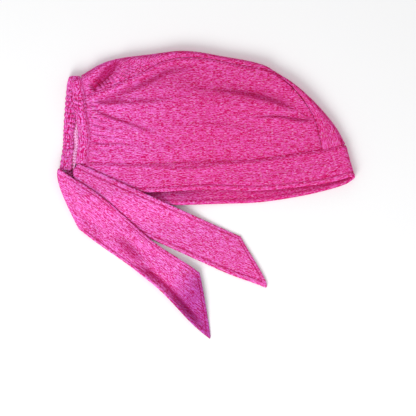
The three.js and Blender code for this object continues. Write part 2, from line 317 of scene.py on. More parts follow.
# Each side of a cloth's grid: the axis that leads away from it, and whether it is that axis's end.
SIDES = {"start": (0, False), "end": (0, True), "bottom": (1, False), "top": (1, True)}


class Cloth:
    """A grid of points on a cloth's middle surface, with where each lies on the flat jersey.

    Its outer face looks along the grid's normals. A ring's columns close on themselves.
    """

    def __init__(self, points, flat, ring=False):
        self.points = points
        self.flat = flat
        self.ring = ring
        self.shade = np.zeros(points.shape[:2])
        # Lilac tint towards the nape; above 1 it is painted shade on cloth turned away from the key light.
        self.lilac = np.zeros(points.shape[:2])

    @property
    def x(self):
        return self.points[..., 0]

    @property
    def y(self):
        return self.points[..., 1]

    def normals(self):
        along = np.gradient(self.points, axis=0)
        if self.ring:
            across_grid = np.roll(self.points, -1, 1) - np.roll(self.points, 1, 1)
        else:
            across_grid = np.gradient(self.points, axis=1)
        normal = np.cross(along, across_grid)
        return normal / np.maximum(np.linalg.norm(normal, axis=-1, keepdims=True), 1e-9)

    def swell(self, amount):
        """Moves the cloth along its normals."""
        self.points = self.points + self.normals() * np.asarray(amount)[..., None]

    def paint_shade(self, strength):
        # Painted shade: keeps the deeper of the shade already painted and the new.
        self.shade = np.maximum(self.shade, strength)

    def raise_by(self, amount):
        self.points[..., 2] += amount

    def distance(self, side):
        """How far each point lies from one side of the grid, along the grid's lines."""
        axis, far = SIDES[side]
        step = np.linalg.norm(np.diff(self.points, axis=axis), axis=-1)
        total = np.cumsum(step, axis)
        zero = np.zeros_like(np.take(total, [0], axis))
        total = np.concatenate([zero, total], axis)
        return np.take(total, [-1], axis) - total if far else total

    def groove(self, side, inset, depth, width=0.7):
        """Sinks the cloth where a row of stitches pulls it in, and paints shade along the groove."""
        sunk = bell(self.distance(side) - inset, width)
        self.swell(-depth * sunk)
        self.paint_shade(1.2 * depth * sunk)

    def paint_shade_facing_away(self, strength):
        """Paints shade, as a deeper colour, on the backs of the folds, which lean towards the crown and away
        from the key light.
        """
        lean = self.normals()[..., 1]
        self.paint_shade(strength * ease(0.03, 0.42, lean))

    def row(self, side, inset, lift, start=0.0, stop=1.0):
        """A line of points and normals at that distance from a side, lifted off the outer face."""
        axis, far = SIDES[side]
        distance = self.distance(side)
        normal = self.normals()
        points = self.points + normal * lift
        if axis == 0:
            distance = distance.T
            points, normal = points.swapaxes(0, 1), normal.swapaxes(0, 1)
        if far:
            distance, points, normal = distance[:, ::-1], points[:, ::-1], normal[:, ::-1]
        lines = range(int(start * (len(points) - 1)), int(stop * (len(points) - 1)) + 1)

        def read(values):
            return np.array([
                [np.interp(inset, distance[k], values[k, :, c]) for c in range(3)] for k in lines])

        return read(points), read(normal)

    def tuck(self, side, radius, drop, turn=90, steps=5):
        """Rolls one side's edge inwards over a quarter turn and carries it on for drop."""
        axis, far = SIDES[side]
        if axis == 1:
            self._swap()
        if far:
            self._flip()
        edge = self.points[0]
        out = edge - self.points[1]
        normal = self.normals()[0]
        if far:
            normal = -normal
        if axis == 1:
            normal = -normal
        out = out - (out * normal).sum(-1, keepdims=True) * normal
        out /= np.maximum(np.linalg.norm(out, axis=-1, keepdims=True), 1e-9)
        flat_out = self.flat[0] - self.flat[1]
        flat_out = flat_out / np.maximum(np.linalg.norm(flat_out, axis=-1, keepdims=True), 1e-9)
        rows, flats = [], []
        angle = math.radians(turn)
        for k in range(1, steps + 1):
            a = angle * k / steps
            rows.append(edge + out * radius * math.sin(a) - normal * radius * (1 - math.cos(a)))
            flats.append(self.flat[0] + flat_out * radius * a)
        for k in (1, 2):
            way = out * math.cos(angle) - normal * math.sin(angle)
            rows.append(rows[steps - 1] + way * drop * k / 2)
            flats.append(flats[steps - 1] + flat_out * drop * k / 2)
        added = len(rows)
        self.points = np.concatenate([np.array(rows[::-1]), self.points])
        self.flat = np.concatenate([np.array(flats[::-1]), self.flat])
        for name in ("shade", "lilac"):
            values = getattr(self, name)
            setattr(self, name, np.concatenate([np.repeat(values[:1], added, 0), values]))
        if far:
            self._flip()
        if axis == 1:
            self._swap()

    def _swap(self):
        self.points = self.points.swapaxes(0, 1)
        self.flat = self.flat.swapaxes(0, 1)
        self.shade, self.lilac = self.shade.T, self.lilac.T

    def _flip(self):
        self.points, self.flat = self.points[::-1], self.flat[::-1]
        self.shade, self.lilac = self.shade[::-1], self.lilac[::-1]

    def borders(self):
        """The grid's open edges, as closed loops of (row, column)."""
        rows, columns = self.points.shape[:2]
        if self.ring:
            return [[(0, j) for j in range(columns)], [(rows - 1, j) for j in range(columns)]]
        loop = [(0, j) for j in range(columns)]
        loop += [(i, columns - 1) for i in range(1, rows)]
        loop += [(rows - 1, j) for j in range(columns - 2, -1, -1)]
        loop += [(i, 0) for i in range(rows - 2, 0, -1)]
        return [loop]

    def build(self, name, thickness, material):
        """Makes the cloth's two faces and its rounded edges as one closed mesh."""
        rows, columns = self.points.shape[:2]
        half = np.broadcast_to(np.asarray(thickness, float) / 2, (rows, columns))[..., None]
        normal = self.normals()
        outer, inner = self.points + normal * half, self.points - normal * half
        index = np.arange(rows * columns).reshape(rows, columns)
        if self.ring:
            index = np.concatenate([index, index[:, :1]], 1)
        corners = [index[:-1, :-1], index[1:, :-1], index[1:, 1:], index[:-1, 1:]]
        quads = np.stack([c.ravel() for c in corners], -1)
        count = rows * columns
        faces = [quads, quads[:, ::-1] + count]
        places = [outer.reshape(-1, 3), inner.reshape(-1, 3)]
        source = [np.arange(count), np.arange(count)]
        made = 2 * count
        for loop in self.borders():
            flat_index = np.array([i * columns + j for i, j in loop])
            out = np.array([self._outward(i, j) for i, j in loop])
            rim = self.points.reshape(-1, 3)[flat_index] + out * half.reshape(-1, 1)[flat_index]
            ring = np.arange(made, made + len(loop))
            made += len(loop)
            places.append(rim)
            source.append(flat_index)
            top, low = flat_index, flat_index + count
            next_top, next_ring, next_low = (np.roll(values, -1) for values in (top, ring, low))
            first = np.stack([top, next_top, next_ring, ring], -1)
            second = np.stack([ring, next_ring, next_low, low], -1)
            if self.ring and loop[0][0] > 0:
                first, second = first[:, ::-1], second[:, ::-1]
            faces += [first, second]
        places, source, faces = np.concatenate(places) * MM, np.concatenate(source), np.concatenate(faces)
        # Nothing reaches below the ground.
        places[:, 2] = np.maximum(places[:, 2], 0)
        a, b, c, d = (places[faces[:, k]] for k in range(4))
        volume = (a * np.cross(b, c)).sum() + (a * np.cross(c, d)).sum()
        if volume < 0:  # the faces point inwards
            faces = faces[:, ::-1]
        mesh = bpy.data.meshes.new(name)
        mesh.from_pydata(places.tolist(), [], faces.tolist())
        mesh.shade_smooth()
        uv = mesh.uv_layers.new(name="cloth")
        corner = np.zeros(len(mesh.loops), int)
        mesh.loops.foreach_get("vertex_index", corner)
        uv.data.foreach_set("uv", (self.flat.reshape(-1, 2)[source[corner]] * MM).astype(np.float32).ravel())
        for key in ("shade", "lilac"):
            attribute = mesh.attributes.new(key, "FLOAT", "POINT")
            values = getattr(self, key).ravel()[source]
            attribute.data.foreach_set("value", values.astype(np.float32))
        mesh.materials.append(material)
        piece = bpy.data.objects.new(name, mesh)
        bpy.context.scene.collection.objects.link(piece)
        return piece

    def _outward(self, i, j):
        """The direction off the grid at a point of its edge."""
        rows, columns = self.points.shape[:2]
        out = np.zeros(3)
        if i in (0, rows - 1):
            step = self.points[i, j] - self.points[1 if i == 0 else rows - 2, j]
            out += step / max(np.linalg.norm(step), 1e-9)
        if not self.ring and j in (0, columns - 1):
            step = self.points[i, j] - self.points[i, 1 if j == 0 else columns - 2]
            out += step / max(np.linalg.norm(step), 1e-9)
        return out / max(np.linalg.norm(out), 1e-9)


def sew(body, cloth, side, inset, lift, start=0.0, stop=1.0):
    """Asks for a row of stitches along a side of a cloth."""
    THREAD_ROWS[body].append(cloth.row(side, inset, lift, start, stop))


# ---- side panels ----

def panel_plan(casing_curve, seam_shift, setback, rows, columns):
    """The plan of a side panel, between the casing, the crown seam and the band seam."""
    u, v = np.linspace(0, 1, rows), np.linspace(0, 1, columns)
    beside = setback - SEAM_OVERLAP
    low_x = float(casing_edge(casing_curve, up(0.3))) + beside
    low = float(band_seam(low_x)) + setback
    back_top = CROWN_SEAM.beside(0.0, setback) - [seam_shift(0.0), 0]
    left_y = mix(low, back_top[1], v)
    edge = casing_edge(casing_curve, left_y) + beside
    left = np.stack([np.maximum(edge, mix(edge, back_top[0], v**4)), left_y], -1)
    seam_end = above_band(CROWN_SEAM, setback)
    brow = CROWN_SEAM.beside(seam_end, setback)
    bottom_x = mix(left[0, 0], brow[0], u)
    bottom = np.stack([bottom_x, band_seam(bottom_x) + setback], -1)
    top = CROWN_SEAM.beside(u * CROWN_SEAM_CORNER, setback)
    top[:, 0] -= seam_shift(u * CROWN_SEAM_CORNER)
    right = CROWN_SEAM.beside(mix(seam_end, CROWN_SEAM_CORNER, v), setback)
    right += (bottom[-1] - right[0]) * (1 - v[:, None]) ** 3
    left += (top[0] - left[-1]) * v[:, None] ** 4
    u, v = u[:, None, None], v[None, :, None]
    plan = bottom[:, None] * (1 - v) + top[:, None] * v + left[None] * (1 - u) + right[None] * u
    plan -= bottom[0] * (1 - u) * (1 - v) + bottom[-1] * u * (1 - v)
    return plan - top[0] * (1 - u) * v - top[-1] * u * v


# The near side's soft folds: height as a share of the fold height, softness and reach, and the fold's line.
NEAR_FOLDS = (
    (2.0, 3.0, 13, [(1, 91), (30, 88), (51, 83), (67, 78), (79, 72)]),
    (1.3, 1.8, 8, [(38, 67), (62, 67.5), (83, 64.5), (93, 66)]),
    (1.0, 3, 10, [(-86, 79), (-70, 82), (-50, 81), (-25, 84)]),
    (0.5, 4, 12, [(-40, 58), (0, 62), (40, 57), (70, 52)]),
    (0.4, 3, 9, [(-90, 46), (-50, 42), (-10, 45), (30, 41)]),
    (1.1, 2.6, 9, [(-99, 74), (-80, 66), (-60, 59), (-38, 52)]),
    (0.7, 1.8, 6, [(-98, 81), (-84, 80), (-68, 78)]),
    (0.6, 2, 6, [(-99, 62), (-84, 58), (-64, 55)]),
)


def near_side_panel(sizes, material):
    """The upper side of the laid cap, with its soft folds and the gathers at the nape."""
    ply = sizes.ply / MM
    roll = sizes.edge_roll / MM
    plan = panel_plan(NEAR_CASING, no_shift, roll + ply / 2, 250, 120)
    rows, columns = plan.shape[:2]
    u, v = np.linspace(0, 1, rows)[:, None], np.linspace(0, 1, columns)[None]
    x, y = plan[..., 0], plan[..., 1]
    height = LAY - ply / 2 + PUFF * np.sin(np.pi * u) * np.sin(np.pi * v)
    cloth = Cloth(np.dstack([x, y, height]), plan.copy())
    folds = sizes.fold_height / MM
    lift = 0
    for height, soft, reach, points in NEAR_FOLDS:
        lift += step_fold(x, y, points, height * folds, soft, reach)
    lift += ridge(x, y, [(-72, 82.5), (-67, 81), (-61, 80)], -0.6 * folds, 1.2)
    # The gathers fan out from the casing towards the middle of the cap.
    fan = np.degrees(np.arctan2(y - 36, -(x + 8)))
    fade = (1 - ease(-101, -52, x)) * ease(36, 44, y) * (1 - ease(78, 87, y))
    wander = 0.5 * value_noise(x / 18, y / 14, 3)
    uneven = np.clip(0.5 + 0.9 * value_noise(x / 30, y / 8, 9), 0, 1.4)
    lift += 0.4 * folds * fade * uneven * pleats(fan / 4.6 + wander)
    lift += 0.2 * folds * (1 - ease(-103, -84, x)) * pleats(y / 3.6 + 0.4 * value_noise(x / 9, y / 9, 4))
    # Below the crown seam the cloth sinks, most at the nape, and its edge stands up over the turnings.
    from_seam = cloth.distance("top")
    nape = 1 - ease(-60, 0, x)
    lift -= (0.35 + 2.0 * nape) * folds * bell(from_seam - 6.5, 4.5) * np.sin(np.pi * np.clip(u * 1.4, 0, 1))
    lift += 0.45 * folds * bell(from_seam - 1.2, 1.5)
    lift += 0.22 * (0.4 + nape) * bell(from_seam, 3.5) * pleats(x / 3.4 + 0.5 * value_noise(x / 7, y / 7, 5))
    # Jersey never lies quite flat.
    lift += 0.55 * value_noise(x / 46 + 3, y / 24, 6) + 0.16 * value_noise(x / 17, y / 7, 7)
    lift += 0.05 * value_noise(x / 7, y / 3, 8)
    rim = np.minimum.reduce([cloth.distance(side) for side in SIDES])
    cloth.raise_by(lift * ease(-1.5, 6, rim))
    # Painted shade where the cloth sinks, along its rolled edges, on the backs of folds that face away from
    # the key light, and in a broad band below the crown seam.
    cloth.shade = 0.5 * ease(0.3, 1.8, -lift) + 0.35 * bell(rim, 1.0)
    cloth.paint_shade_facing_away(0.95)
    cloth.paint_shade(0.4 * ridge(x, y, [(-62, 92), (-20, 96), (15, 87), (62, 78)], 1.0, 7.5))
    cloth.lilac = nape_share(x)
    sew("cap", cloth, "top", 1.5, ply / 2)
    for side in SIDES:
        cloth.tuck(side, roll, 1.6)
    return cloth.build("near_panel", ply, material)


def far_side_panel(sizes, material):
    """The side that lies on the ground."""
    ply = sizes.ply / MM
    roll = sizes.edge_roll / MM
    plan = panel_plan(FAR_CASING, far_seam_shift, roll + ply / 2, 130, 60)
    x, y = plan[..., 0], plan[..., 1]
    height = ply / 2 + 0.35 + 0.3 * value_noise(x / 30, y / 16, 11)
    # Its outer face looks down, so the grid's second direction is turned round.
    points = np.dstack([x, y, height])[:, ::-1]
    cloth = Cloth(points, plan[:, ::-1].copy())
    rim = np.minimum.reduce([cloth.distance(side) for side in SIDES])
    # Painted shade along its rolled edges.
    cloth.shade = 0.3 * bell(rim, 1.3)
    cloth.lilac = nape_share(cloth.x)
    sew("cap", cloth, "bottom", 1.5, ply / 2)
    for side in SIDES:
        cloth.tuck(side, roll, 1.4)
    return cloth.build("far_panel", ply, material)


# ---- crown panel ----

# Ridges and, below 0, creases: height as a share of the fold height, width, and the line.
CROWN_FOLDS = (
    (-4.4, 4.4, [(-76, 119), (-83, 110), (-91, 100), (-100, 91)]),
    (1.3, 2.4, [(-70, 117), (-73, 109), (-80, 101)]),
    (-1.4, 1.3, [(-66, 118), (-67, 111), (-71, 104)]),
    (1.1, 2.6, [(-92, 114), (-98, 106), (-103, 97)]),
    (-1.8, 1.7, [(54, 109), (61, 104.5), (69, 98.5)]),
)


def crown_panel(sizes, material):
    """A strip from nape to brow, folded over along the top, gathered where it meets the casing."""
    ply = sizes.ply / MM
    roll_edge = sizes.edge_roll / MM
    stations, leg, turn_steps, far_leg = 330, 20, 16, 12
    share = np.linspace(0, 1, stations)
    setback = roll_edge + ply / 2
    seam = CROWN_SEAM(share * above_band(CROWN_SEAM, setback - 0.4))
    fold = TOP_FOLD(share * above_band(TOP_FOLD, setback - 0.6))
    reach = np.linalg.norm(fold - seam, axis=1, keepdims=True)
    out = (fold - seam) / np.maximum(reach, 1e-6)
    fold[:, 0] -= 0.9 * ease(0.93, 1, share)
    start = seam + out * np.minimum(setback, 0.3 * reach)
    roll = np.minimum(CROWN_ROLL, 0.6 * reach)
    turn = fold - out * roll
    inset = ply / 2
    half = LAY / 2
    columns = []

    def add_column(flat, z):
        columns.append(np.column_stack([flat, np.full(stations, z)]))

    for k in range(leg):
        add_column(mix(start, turn, k / leg), LAY - inset)
    for k in range(turn_steps + 1):
        angle = math.pi * k / turn_steps
        add_column(turn + out * (roll - inset) * math.sin(angle), half + (half - inset) * math.cos(angle))
    for k in range(1, far_leg + 1):
        flat = mix(turn, start, k / far_leg)
        flat[:, 0] -= far_seam_shift(share) * (k / far_leg) ** 0.4
        add_column(flat, inset)
    points = np.stack(columns, 1)
    along = np.concatenate([[0], np.cumsum(np.linalg.norm(np.diff((seam + fold) / 2, axis=0), axis=1))])
    girth = np.cumsum(np.linalg.norm(np.diff(points, axis=1), axis=-1), 1)
    girth = np.concatenate([np.zeros((stations, 1)), girth], 1)
    cloth = Cloth(points, np.dstack([np.broadcast_to(along[:, None], girth.shape), girth]))
    x, y, z = points[..., 0], points[..., 1], points[..., 2]
    folds = sizes.fold_height / MM
    share = share[:, None]
    on_top = ease(half, LAY - 1, z)
    nape = 1 - ease(0.1, 0.36, share)
    from_seam = girth
    wander = 0.8 * value_noise(along[:, None] / 11 + 0 * girth, girth / 9, 21)
    lift = 1.05 * folds * nape * bell(from_seam, 8) * pleats(along[:, None] / 3.8 + wander)
    lift += 0.18 * folds * bell(from_seam, 4) * pleats(along[:, None] / 3.6 + wander)
    # Behind the gathers the strip caves in, between two folds that run down to the casing.
    for height, width, line in CROWN_FOLDS:
        lift += on_top * ridge(x, y, line, height * folds, width)
    lift += 0.5 * folds * bell(girth - 5, 3) * (1 - nape) * on_top
    lift += 0.3 * value_noise(along[:, None] / 21 + 0 * girth, girth / 11, 22)
    edge = np.minimum(cloth.distance("start"), cloth.distance("end"))
    cloth.swell(lift * ease(-1, 5, edge) * ease(-1.2, 2, from_seam) * ease(0.05, 3.5, z + 0 * lift))
    # Painted shade where the strip sinks and along its seam, and on the top's folds that face away from the
    # key light.
    cloth.shade = 1.2 * ease(0.3, 2.6, -lift) + 0.35 * bell(from_seam, 1.0)
    cloth.paint_shade_facing_away(0.5 * on_top)
    cloth.lilac = nape_share(x) * 0.8
    for side in ("bottom", "top"):
        cloth.tuck(side, roll_edge, 1.6)
    cloth.tuck("start", roll_edge, 1.0)
    cloth.tuck("end", roll_edge, 1.2)
    return cloth.build("crown_strip", ply, material)


# ---- front band and its lining ----

NEAR_BAND_END = across(NEAR_END_SHARE)
FAR_BAND_END = across(FAR_END_SHARE)
BROW_BOW = 1.6  # how far the hem bows out of line where the band turns at the brow


def band_grid(inset, rows, near_steps, turn_steps, far_steps, top_setback, hem_setback):
    """The band's plan carried round the brow, `inset` inside its outer face. Rows run along it."""
    half = LAY / 2
    lines = []
    for v in np.linspace(0, 1, rows):
        turn_x = across(0.97 + 0.03 * v) - FRONT_ROLL
        near = np.linspace(NEAR_BAND_END, turn_x, near_steps, endpoint=False)
        angle = np.pi * np.linspace(0, 1, turn_steps + 1)
        far = np.linspace(turn_x, FAR_BAND_END, far_steps + 1)[1:]

        def height(x, hem):
            return mix(band_seam(x) - top_setback, hem.follow(x) + hem_setback, v)

        turn_y = mix(height(turn_x, NEAR_HEM), height(turn_x, FAR_HEM), angle / np.pi)
        x = np.concatenate([near, turn_x + (FRONT_ROLL - inset) * np.sin(angle), far])
        y = np.concatenate([
            height(near, NEAR_HEM), turn_y + BROW_BOW * v * np.sin(angle), height(far, FAR_HEM)])
        turn_z = half + (half - inset) * np.cos(angle)
        z = np.concatenate([np.full(near_steps, LAY - inset), turn_z, np.full(far_steps, inset)])
        lines.append(np.stack([x, y, z], -1))
    points = np.stack(lines, 1)[:, ::-1]
    along = np.concatenate([[0], np.cumsum(np.linalg.norm(np.diff(points[:, -1], axis=0), axis=1))])
    width = np.cumsum(np.linalg.norm(np.diff(points, axis=1), axis=-1), 1)
    width = np.concatenate([np.zeros((len(points), 1)), width], 1)
    return Cloth(points, np.dstack([np.broadcast_to(along[:, None], width.shape), width]))


def far_rise(cloth):
    """How far the far half's hem stands off the ground beside the near tie, with both its plies."""
    far = 1 - ease(1.9, LAY / 2, cloth.points[..., 2])
    return 5.0 * far * bell(cloth.x + 28, 28) * (1 - ease(1, 15, cloth.distance("bottom")))


def band_folds(cloth, folds):
    """The near half's shallow folds, which the lining under it shares."""
    x, y, z = cloth.x, cloth.y, cloth.points[..., 2]
    near = ease(LAY / 2, LAY - 2, z)
    lift = step_fold(x, y, [(-45, 24), (-22, 23.5), (0, 25), (20, 27)], 0.8 * folds, 1.8, 5)
    lift += step_fold(x, y, [(20, 15), (55, 17), (90, 24), (118, 31)], 0.3 * folds, 2.5, 7)
    lift += 0.28 * value_noise(x / 34, y / 13, 31) + 0.08 * value_noise(x / 9, y / 5, 32)
    return lift * near


def front_band(sizes, material):
    """The outer ply, from the near end round the brow to the far end, with its two rows of stitches."""
    ply = sizes.ply / MM
    roll = sizes.edge_roll / MM
    setback = roll + ply / 2
    cloth = band_grid(ply / 2, 34, 270, 40, 190, setback, setback)
    lift = band_folds(cloth, sizes.fold_height / MM)
    from_hem, from_seam = cloth.distance("bottom"), cloth.distance("top")
    lift += 0.22 * bell(from_seam - 2.2, 1.4) + 0.25 * bell(from_hem - 1.8, 1.2)
    pucker = pleats(cloth.x / 3.4 + 0.5 * value_noise(cloth.x / 8, cloth.y / 8, 33))
    lift += 0.07 * (bell(from_hem - 1.5, 2.2) + bell(from_seam - 1, 2)) * pucker
    cloth.swell(lift - far_rise(cloth))
    rows = {"bottom": STITCH_INSET - setback + 0.4, "top": 0.7}
    # The rows sink the band and paint shade along their grooves; more painted shade along the seam, on folds
    # that face away from the key light, and in the near tie's shadow.
    cloth.groove("bottom", rows["bottom"], 0.36)
    cloth.groove("top", rows["top"], 0.3)
    cloth.paint_shade(0.5 * bell(from_seam, 1.0))
    cloth.paint_shade_facing_away(0.6 * ease(LAY - 2, LAY - 1, cloth.points[..., 2]))
    cloth.paint_shade(painted_tie_shadow(NEAR_TIE, cloth.x, cloth.y))
    cloth.lilac = nape_share(cloth.x) * 0.9
    for side, inset in rows.items():
        sew("cap", cloth, side, inset, ply / 2, 0.01, 0.99)
    cloth.tuck("bottom", roll, 0.5)
    cloth.tuck("top", roll, 1.4)
    return cloth.build("brow_band", ply, material)


def band_lining(sizes, material):
    """The inner ply, inside the outer one all the way round."""
    ply = sizes.ply / MM
    roll = sizes.edge_roll / MM
    setback = roll + ply / 2
    between_plies = 0.15
    cloth = band_grid(1.5 * ply + between_plies, 26, 230, 32, 190, 1.0, setback - 0.3)
    lift = band_folds(cloth, sizes.fold_height / MM)
    x, z = cloth.x, cloth.points[..., 2]
    far = 1 - ease(1.9, LAY / 2, z)
    from_hem = cloth.distance("bottom")
    # The far half's inner face shows below the near hem: its hem stands up a little and is stitched.
    ripple = 0.25 + 0.25 * value_noise(x / 26, cloth.y / 9, 34)
    row = bell(from_hem - LINING_STITCH_INSET, 0.7)
    lift -= far * (ripple + 0.35 * bell(from_hem - 1.6, 1.3) - 0.3 * row)
    cloth.swell(lift - far_rise(cloth))
    # Painted shadow under the near hem, deepest towards the brow, and painted shade along the stitch row.
    below = NEAR_HEM.follow(x.ravel()).reshape(x.shape) - cloth.y
    in_hem_shadow = 1 - ease(0.8, 3.4, below)
    hem_shadow = (0.2 + 0.8 * ease(10, 90, x)) * in_hem_shadow
    cloth.shade = far * np.maximum(0.7 * bell(from_hem - LINING_STITCH_INSET, 0.8), hem_shadow)
    cloth.lilac = (1 - ease(-60, 30, x)) * 0.9
    points, normals = cloth.row("bottom", LINING_STITCH_INSET, -ply / 2, 0.01, 0.99)
    THREAD_ROWS["cap"].append((points, -normals))
    cloth.tuck("bottom", 0.4, 0.2, turn=-60)
    return cloth.build("brow_band_lining", ply, material)


# ---- back casing, its elastic and the seam's edge in the slit ----

def casing_path(share):
    """The middle of the channel: up the near side, over in a half turn and down the far side."""
    near_z = CASING_HIGH - CASING_THICKNESS / 2
    far_z = CASING_THICKNESS / 2
    turn_from, turn_to = 0.44, 0.56
    near = NEAR_CASING(np.clip(share / turn_from, 0, 1))
    far = FAR_CASING(np.clip((share - turn_to) / (1 - turn_to), 0, 1))
    turn = np.clip((share - turn_from) / (turn_to - turn_from), 0, 1)
    over = mix(NEAR_CASING(1.0), FAR_CASING(0.0), turn[:, None])
    over[:, 1] += CASING_ROLL * np.sin(np.pi * turn)
    flat = np.where((share <= turn_from)[:, None], near, np.where((share >= turn_to)[:, None], far, over))
    flat[:, 1] -= CASING_END * (1 - ease(0, 0.09, share) + ease(0.91, 1, share))
    z = (near_z + far_z) / 2 + (near_z - far_z) / 2 * np.cos(np.pi * turn)
    z += FAR_END_RISE * ease(0.84, 1, share)
    return np.column_stack([flat, z])


def casing_frame(share):
    """Points along the channel with the directions across it and out of it, and the length so far."""
    path = casing_path(share)
    along = np.gradient(path, axis=0)
    side = np.broadcast_to([1.0, 0, 0], path.shape)
    out = np.cross(side, along)
    out /= np.linalg.norm(out, axis=1, keepdims=True)
    length = np.concatenate([[0], np.cumsum(np.linalg.norm(np.diff(path, axis=0), axis=1))])
    return path, side, out, length


def flattened(wave, power):
    """A wave from -1 to 1 with a fuller, squarer crest for a power below 1."""
    return np.sign(wave) * np.abs(wave) ** power


def back_casing(sizes, material):
    """The channel round the nape, ruffled by the elastic that gathers it."""
    wall = CASING_WALL
    stations, around = 620, 44
    share = np.linspace(0, 1, stations)
    path, side, out, length = casing_frame(share)
    angle = 2 * np.pi * np.arange(around) / around
    over, lift = flattened(np.cos(angle), 0.62), flattened(np.sin(angle), 0.72)
    y, s = path[:, 1:2], length[:, None]
    far = ease(0.5, 0.58, share)[:, None]
    # The tab at the top is smooth, the pleats below it are the deepest, and the near leg's foot is calm.
    tab = bell(y - 96, 9) * (1 - 0.5 * far)
    strong = 1.5 * bell(y - 79, 6) * (1 - far)
    calm = (1 - far) * (0.42 - 0.3 * ease(38, 60, y))
    uneven = 0.75 + 0.45 * value_noise(s / 7 + 0 * over, over * 0.7 + 9, 42)
    amount = np.clip((1 - tab) * (0.7 + strong + 0.3 * far) * uneven - calm, 0.06, 2)
    spacing = sizes.pleat_spacing / MM
    wander = 0.8 * value_noise(s / 11 + 0 * over, over * 0.8 + 5, 41)
    wave = pleats(s / spacing + wander + 0.07 * over * np.sin(s / 9))
    tall = sizes.pleat_height / MM
    ruffle = tall * amount * wave
    width = (CASING_WIDTH - wall) / 2 + 0.75 * ruffle * ease(0.5, 1, np.abs(over)) - 0.2
    thick = (CASING_THICKNESS - wall) / 2 + 0.8 * ruffle * ease(0, 0.6, np.abs(lift))
    points = path[:, None] + side[:, None] * (over * width)[..., None]
    points = points + out[:, None] * (lift * thick)[..., None]
    points[..., 2] = np.maximum(points[..., 2], wall / 2 + 0.02)
    flat = np.dstack([s * 1.3 + 0 * over, angle / (2 * np.pi) * 2.2 * CASING_WIDTH + 0 * s])
    cloth = Cloth(points[:, ::-1], flat[:, ::-1], ring=True)
    pinch = np.broadcast_to(bell((over - 0.62) * CASING_WIDTH / 2, 0.7) * (lift > 0), points.shape[:2])
    cloth.swell(-0.4 * pinch[:, ::-1] * (1 - tab))
    # Painted shade in the pleats' valleys and in the pinch along the casing's edge.
    shaded = 0.95 * np.minimum(amount, 1) * ease(0.1, -0.9, wave) * (1 - ease(0.9, 0.96, share)[:, None])
    cloth.shade = (shaded + 0.5 * pinch)[:, ::-1]
    # A crease across the tab, sunk and given painted shade.
    crease = ridge(cloth.x, cloth.y, [(-116.5, 97.3), (-113, 99), (-109.5, 100.8)], 1.0, 0.9)
    crease = crease * (cloth.points[..., 2] > CASING_HIGH - 1.6)
    cloth.swell(-0.5 * crease)
    cloth.paint_shade(crease)
    cloth.lilac = np.full(points.shape[:2], 0.95)
    column = around - 1 - int(np.argmax(pinch[0]))
    rows = slice(8, stations - 8, 4)
    normal = cloth.normals()[rows, column]
    THREAD_ROWS["cap"].append((cloth.points[rows, column] + normal * wall / 2, normal))
    return cloth.build("nape_casing", wall, material)


def back_elastic(material):
    """The flat elastic inside the channel, along nearly all of it."""
    width, thickness = 7.5, 1.0
    share = np.linspace(0.01, 0.99, 260)
    path, side, _, length = casing_frame(share)
    over = np.linspace(-1, 1, 13)
    points = path[:, None] + side[:, None] * (over * width / 2)[None, :, None]
    flat = np.dstack([length[:, None] + 0 * over, over * width / 2 + 0 * length[:, None]])
    cloth = Cloth(points[:, ::-1], flat[:, ::-1])
    cloth.swell(0.12 * np.cos(2 * np.pi * length[:, None] / 1.6) + 0 * over)
    return cloth.build("nape_elastic", thickness, material)


def nape_edge(material):
    """The overlocked edge of the far casing's seam, which shows in the slit."""
    s, t = np.linspace(0, 1, 120)[:, None], np.linspace(-1, 1, 9)[None]
    y = mix(22.5, 68.0, s) + 0 * t
    middle = FAR_CASING.follow(y[:, 0], 1)[:, None] + CASING_WIDTH / 2 + 1.6
    half = 1.7 * np.sin(np.pi * np.clip(s, 0.06, 0.94)) ** 0.5
    x = middle + half * t + 0.35 * np.sin(s * 17)
    # It tilts in the slit, rises with the casing's end, and its thread ruffles it every 2.2 mm.
    z = 6.2 + 0.35 * FAR_END_RISE * (1 - ease(24, 44, y)) + 0.9 * t
    z = z + 0.5 * np.sin(s * 11) + 0.25 * np.cos(2 * np.pi * s * 42 / 2.2)
    cloth = Cloth(np.dstack([x, y, z])[:, ::-1], np.dstack([y, x])[:, ::-1])
    cloth.lilac = np.ones(x.shape)
    for side in ("bottom", "top"):
        sew("cap", cloth, side, 0.7, 0.5)
    return cloth.build("nape_seam_edge", 0.8, material)


# ---- ties ----

class TiePlan:
    """A tie's own directions in plan: along it from its root, and to its upper side."""

    def __init__(self, root, angle):
        self.root = np.array(root, float)
        self.along = np.array([math.cos(angle), math.sin(angle)])
        self.side = np.array([-math.sin(angle), math.cos(angle)])

    def place(self, length, offset):
        return self.root + length[..., None] * self.along + offset[..., None] * self.side

    def offset(self, x, y):
        return (x - self.root[0]) * self.side[0] + (y - self.root[1]) * self.side[1]


NEAR_TIE = TiePlan((NEAR_BAND_END + 1.8, float(band_seam(NEAR_BAND_END)) - 2.2), NEAR_TIE_ANGLE)
FAR_TIE = TiePlan((across(-0.0137), up(0.2383)), FAR_TIE_ANGLE)


def painted_tie_shadow(tie, x, y, top=0.0):
    """Painted shadow: deeper colour in the narrow shade along a tie's upper edge."""
    offset = tie.offset(x, y) - top
    return 0.9 * ease(-1, 0.2, offset) * (1 - ease(0.3, 2.2, offset))


def near_tie_under(y):
    """Height of what the near tie lies on: the band, then the ground."""
    hem = up(0.07)
    return (LAY + SEAM_GAP) * ease(hem - DROP, hem, y)


def sunk_edge(edge, thickness):
    """A tie's thickness, which thins towards its folded edges."""
    return thickness * (0.6 + 0.4 * np.sqrt(ease(-0.2, 1.8, edge)))


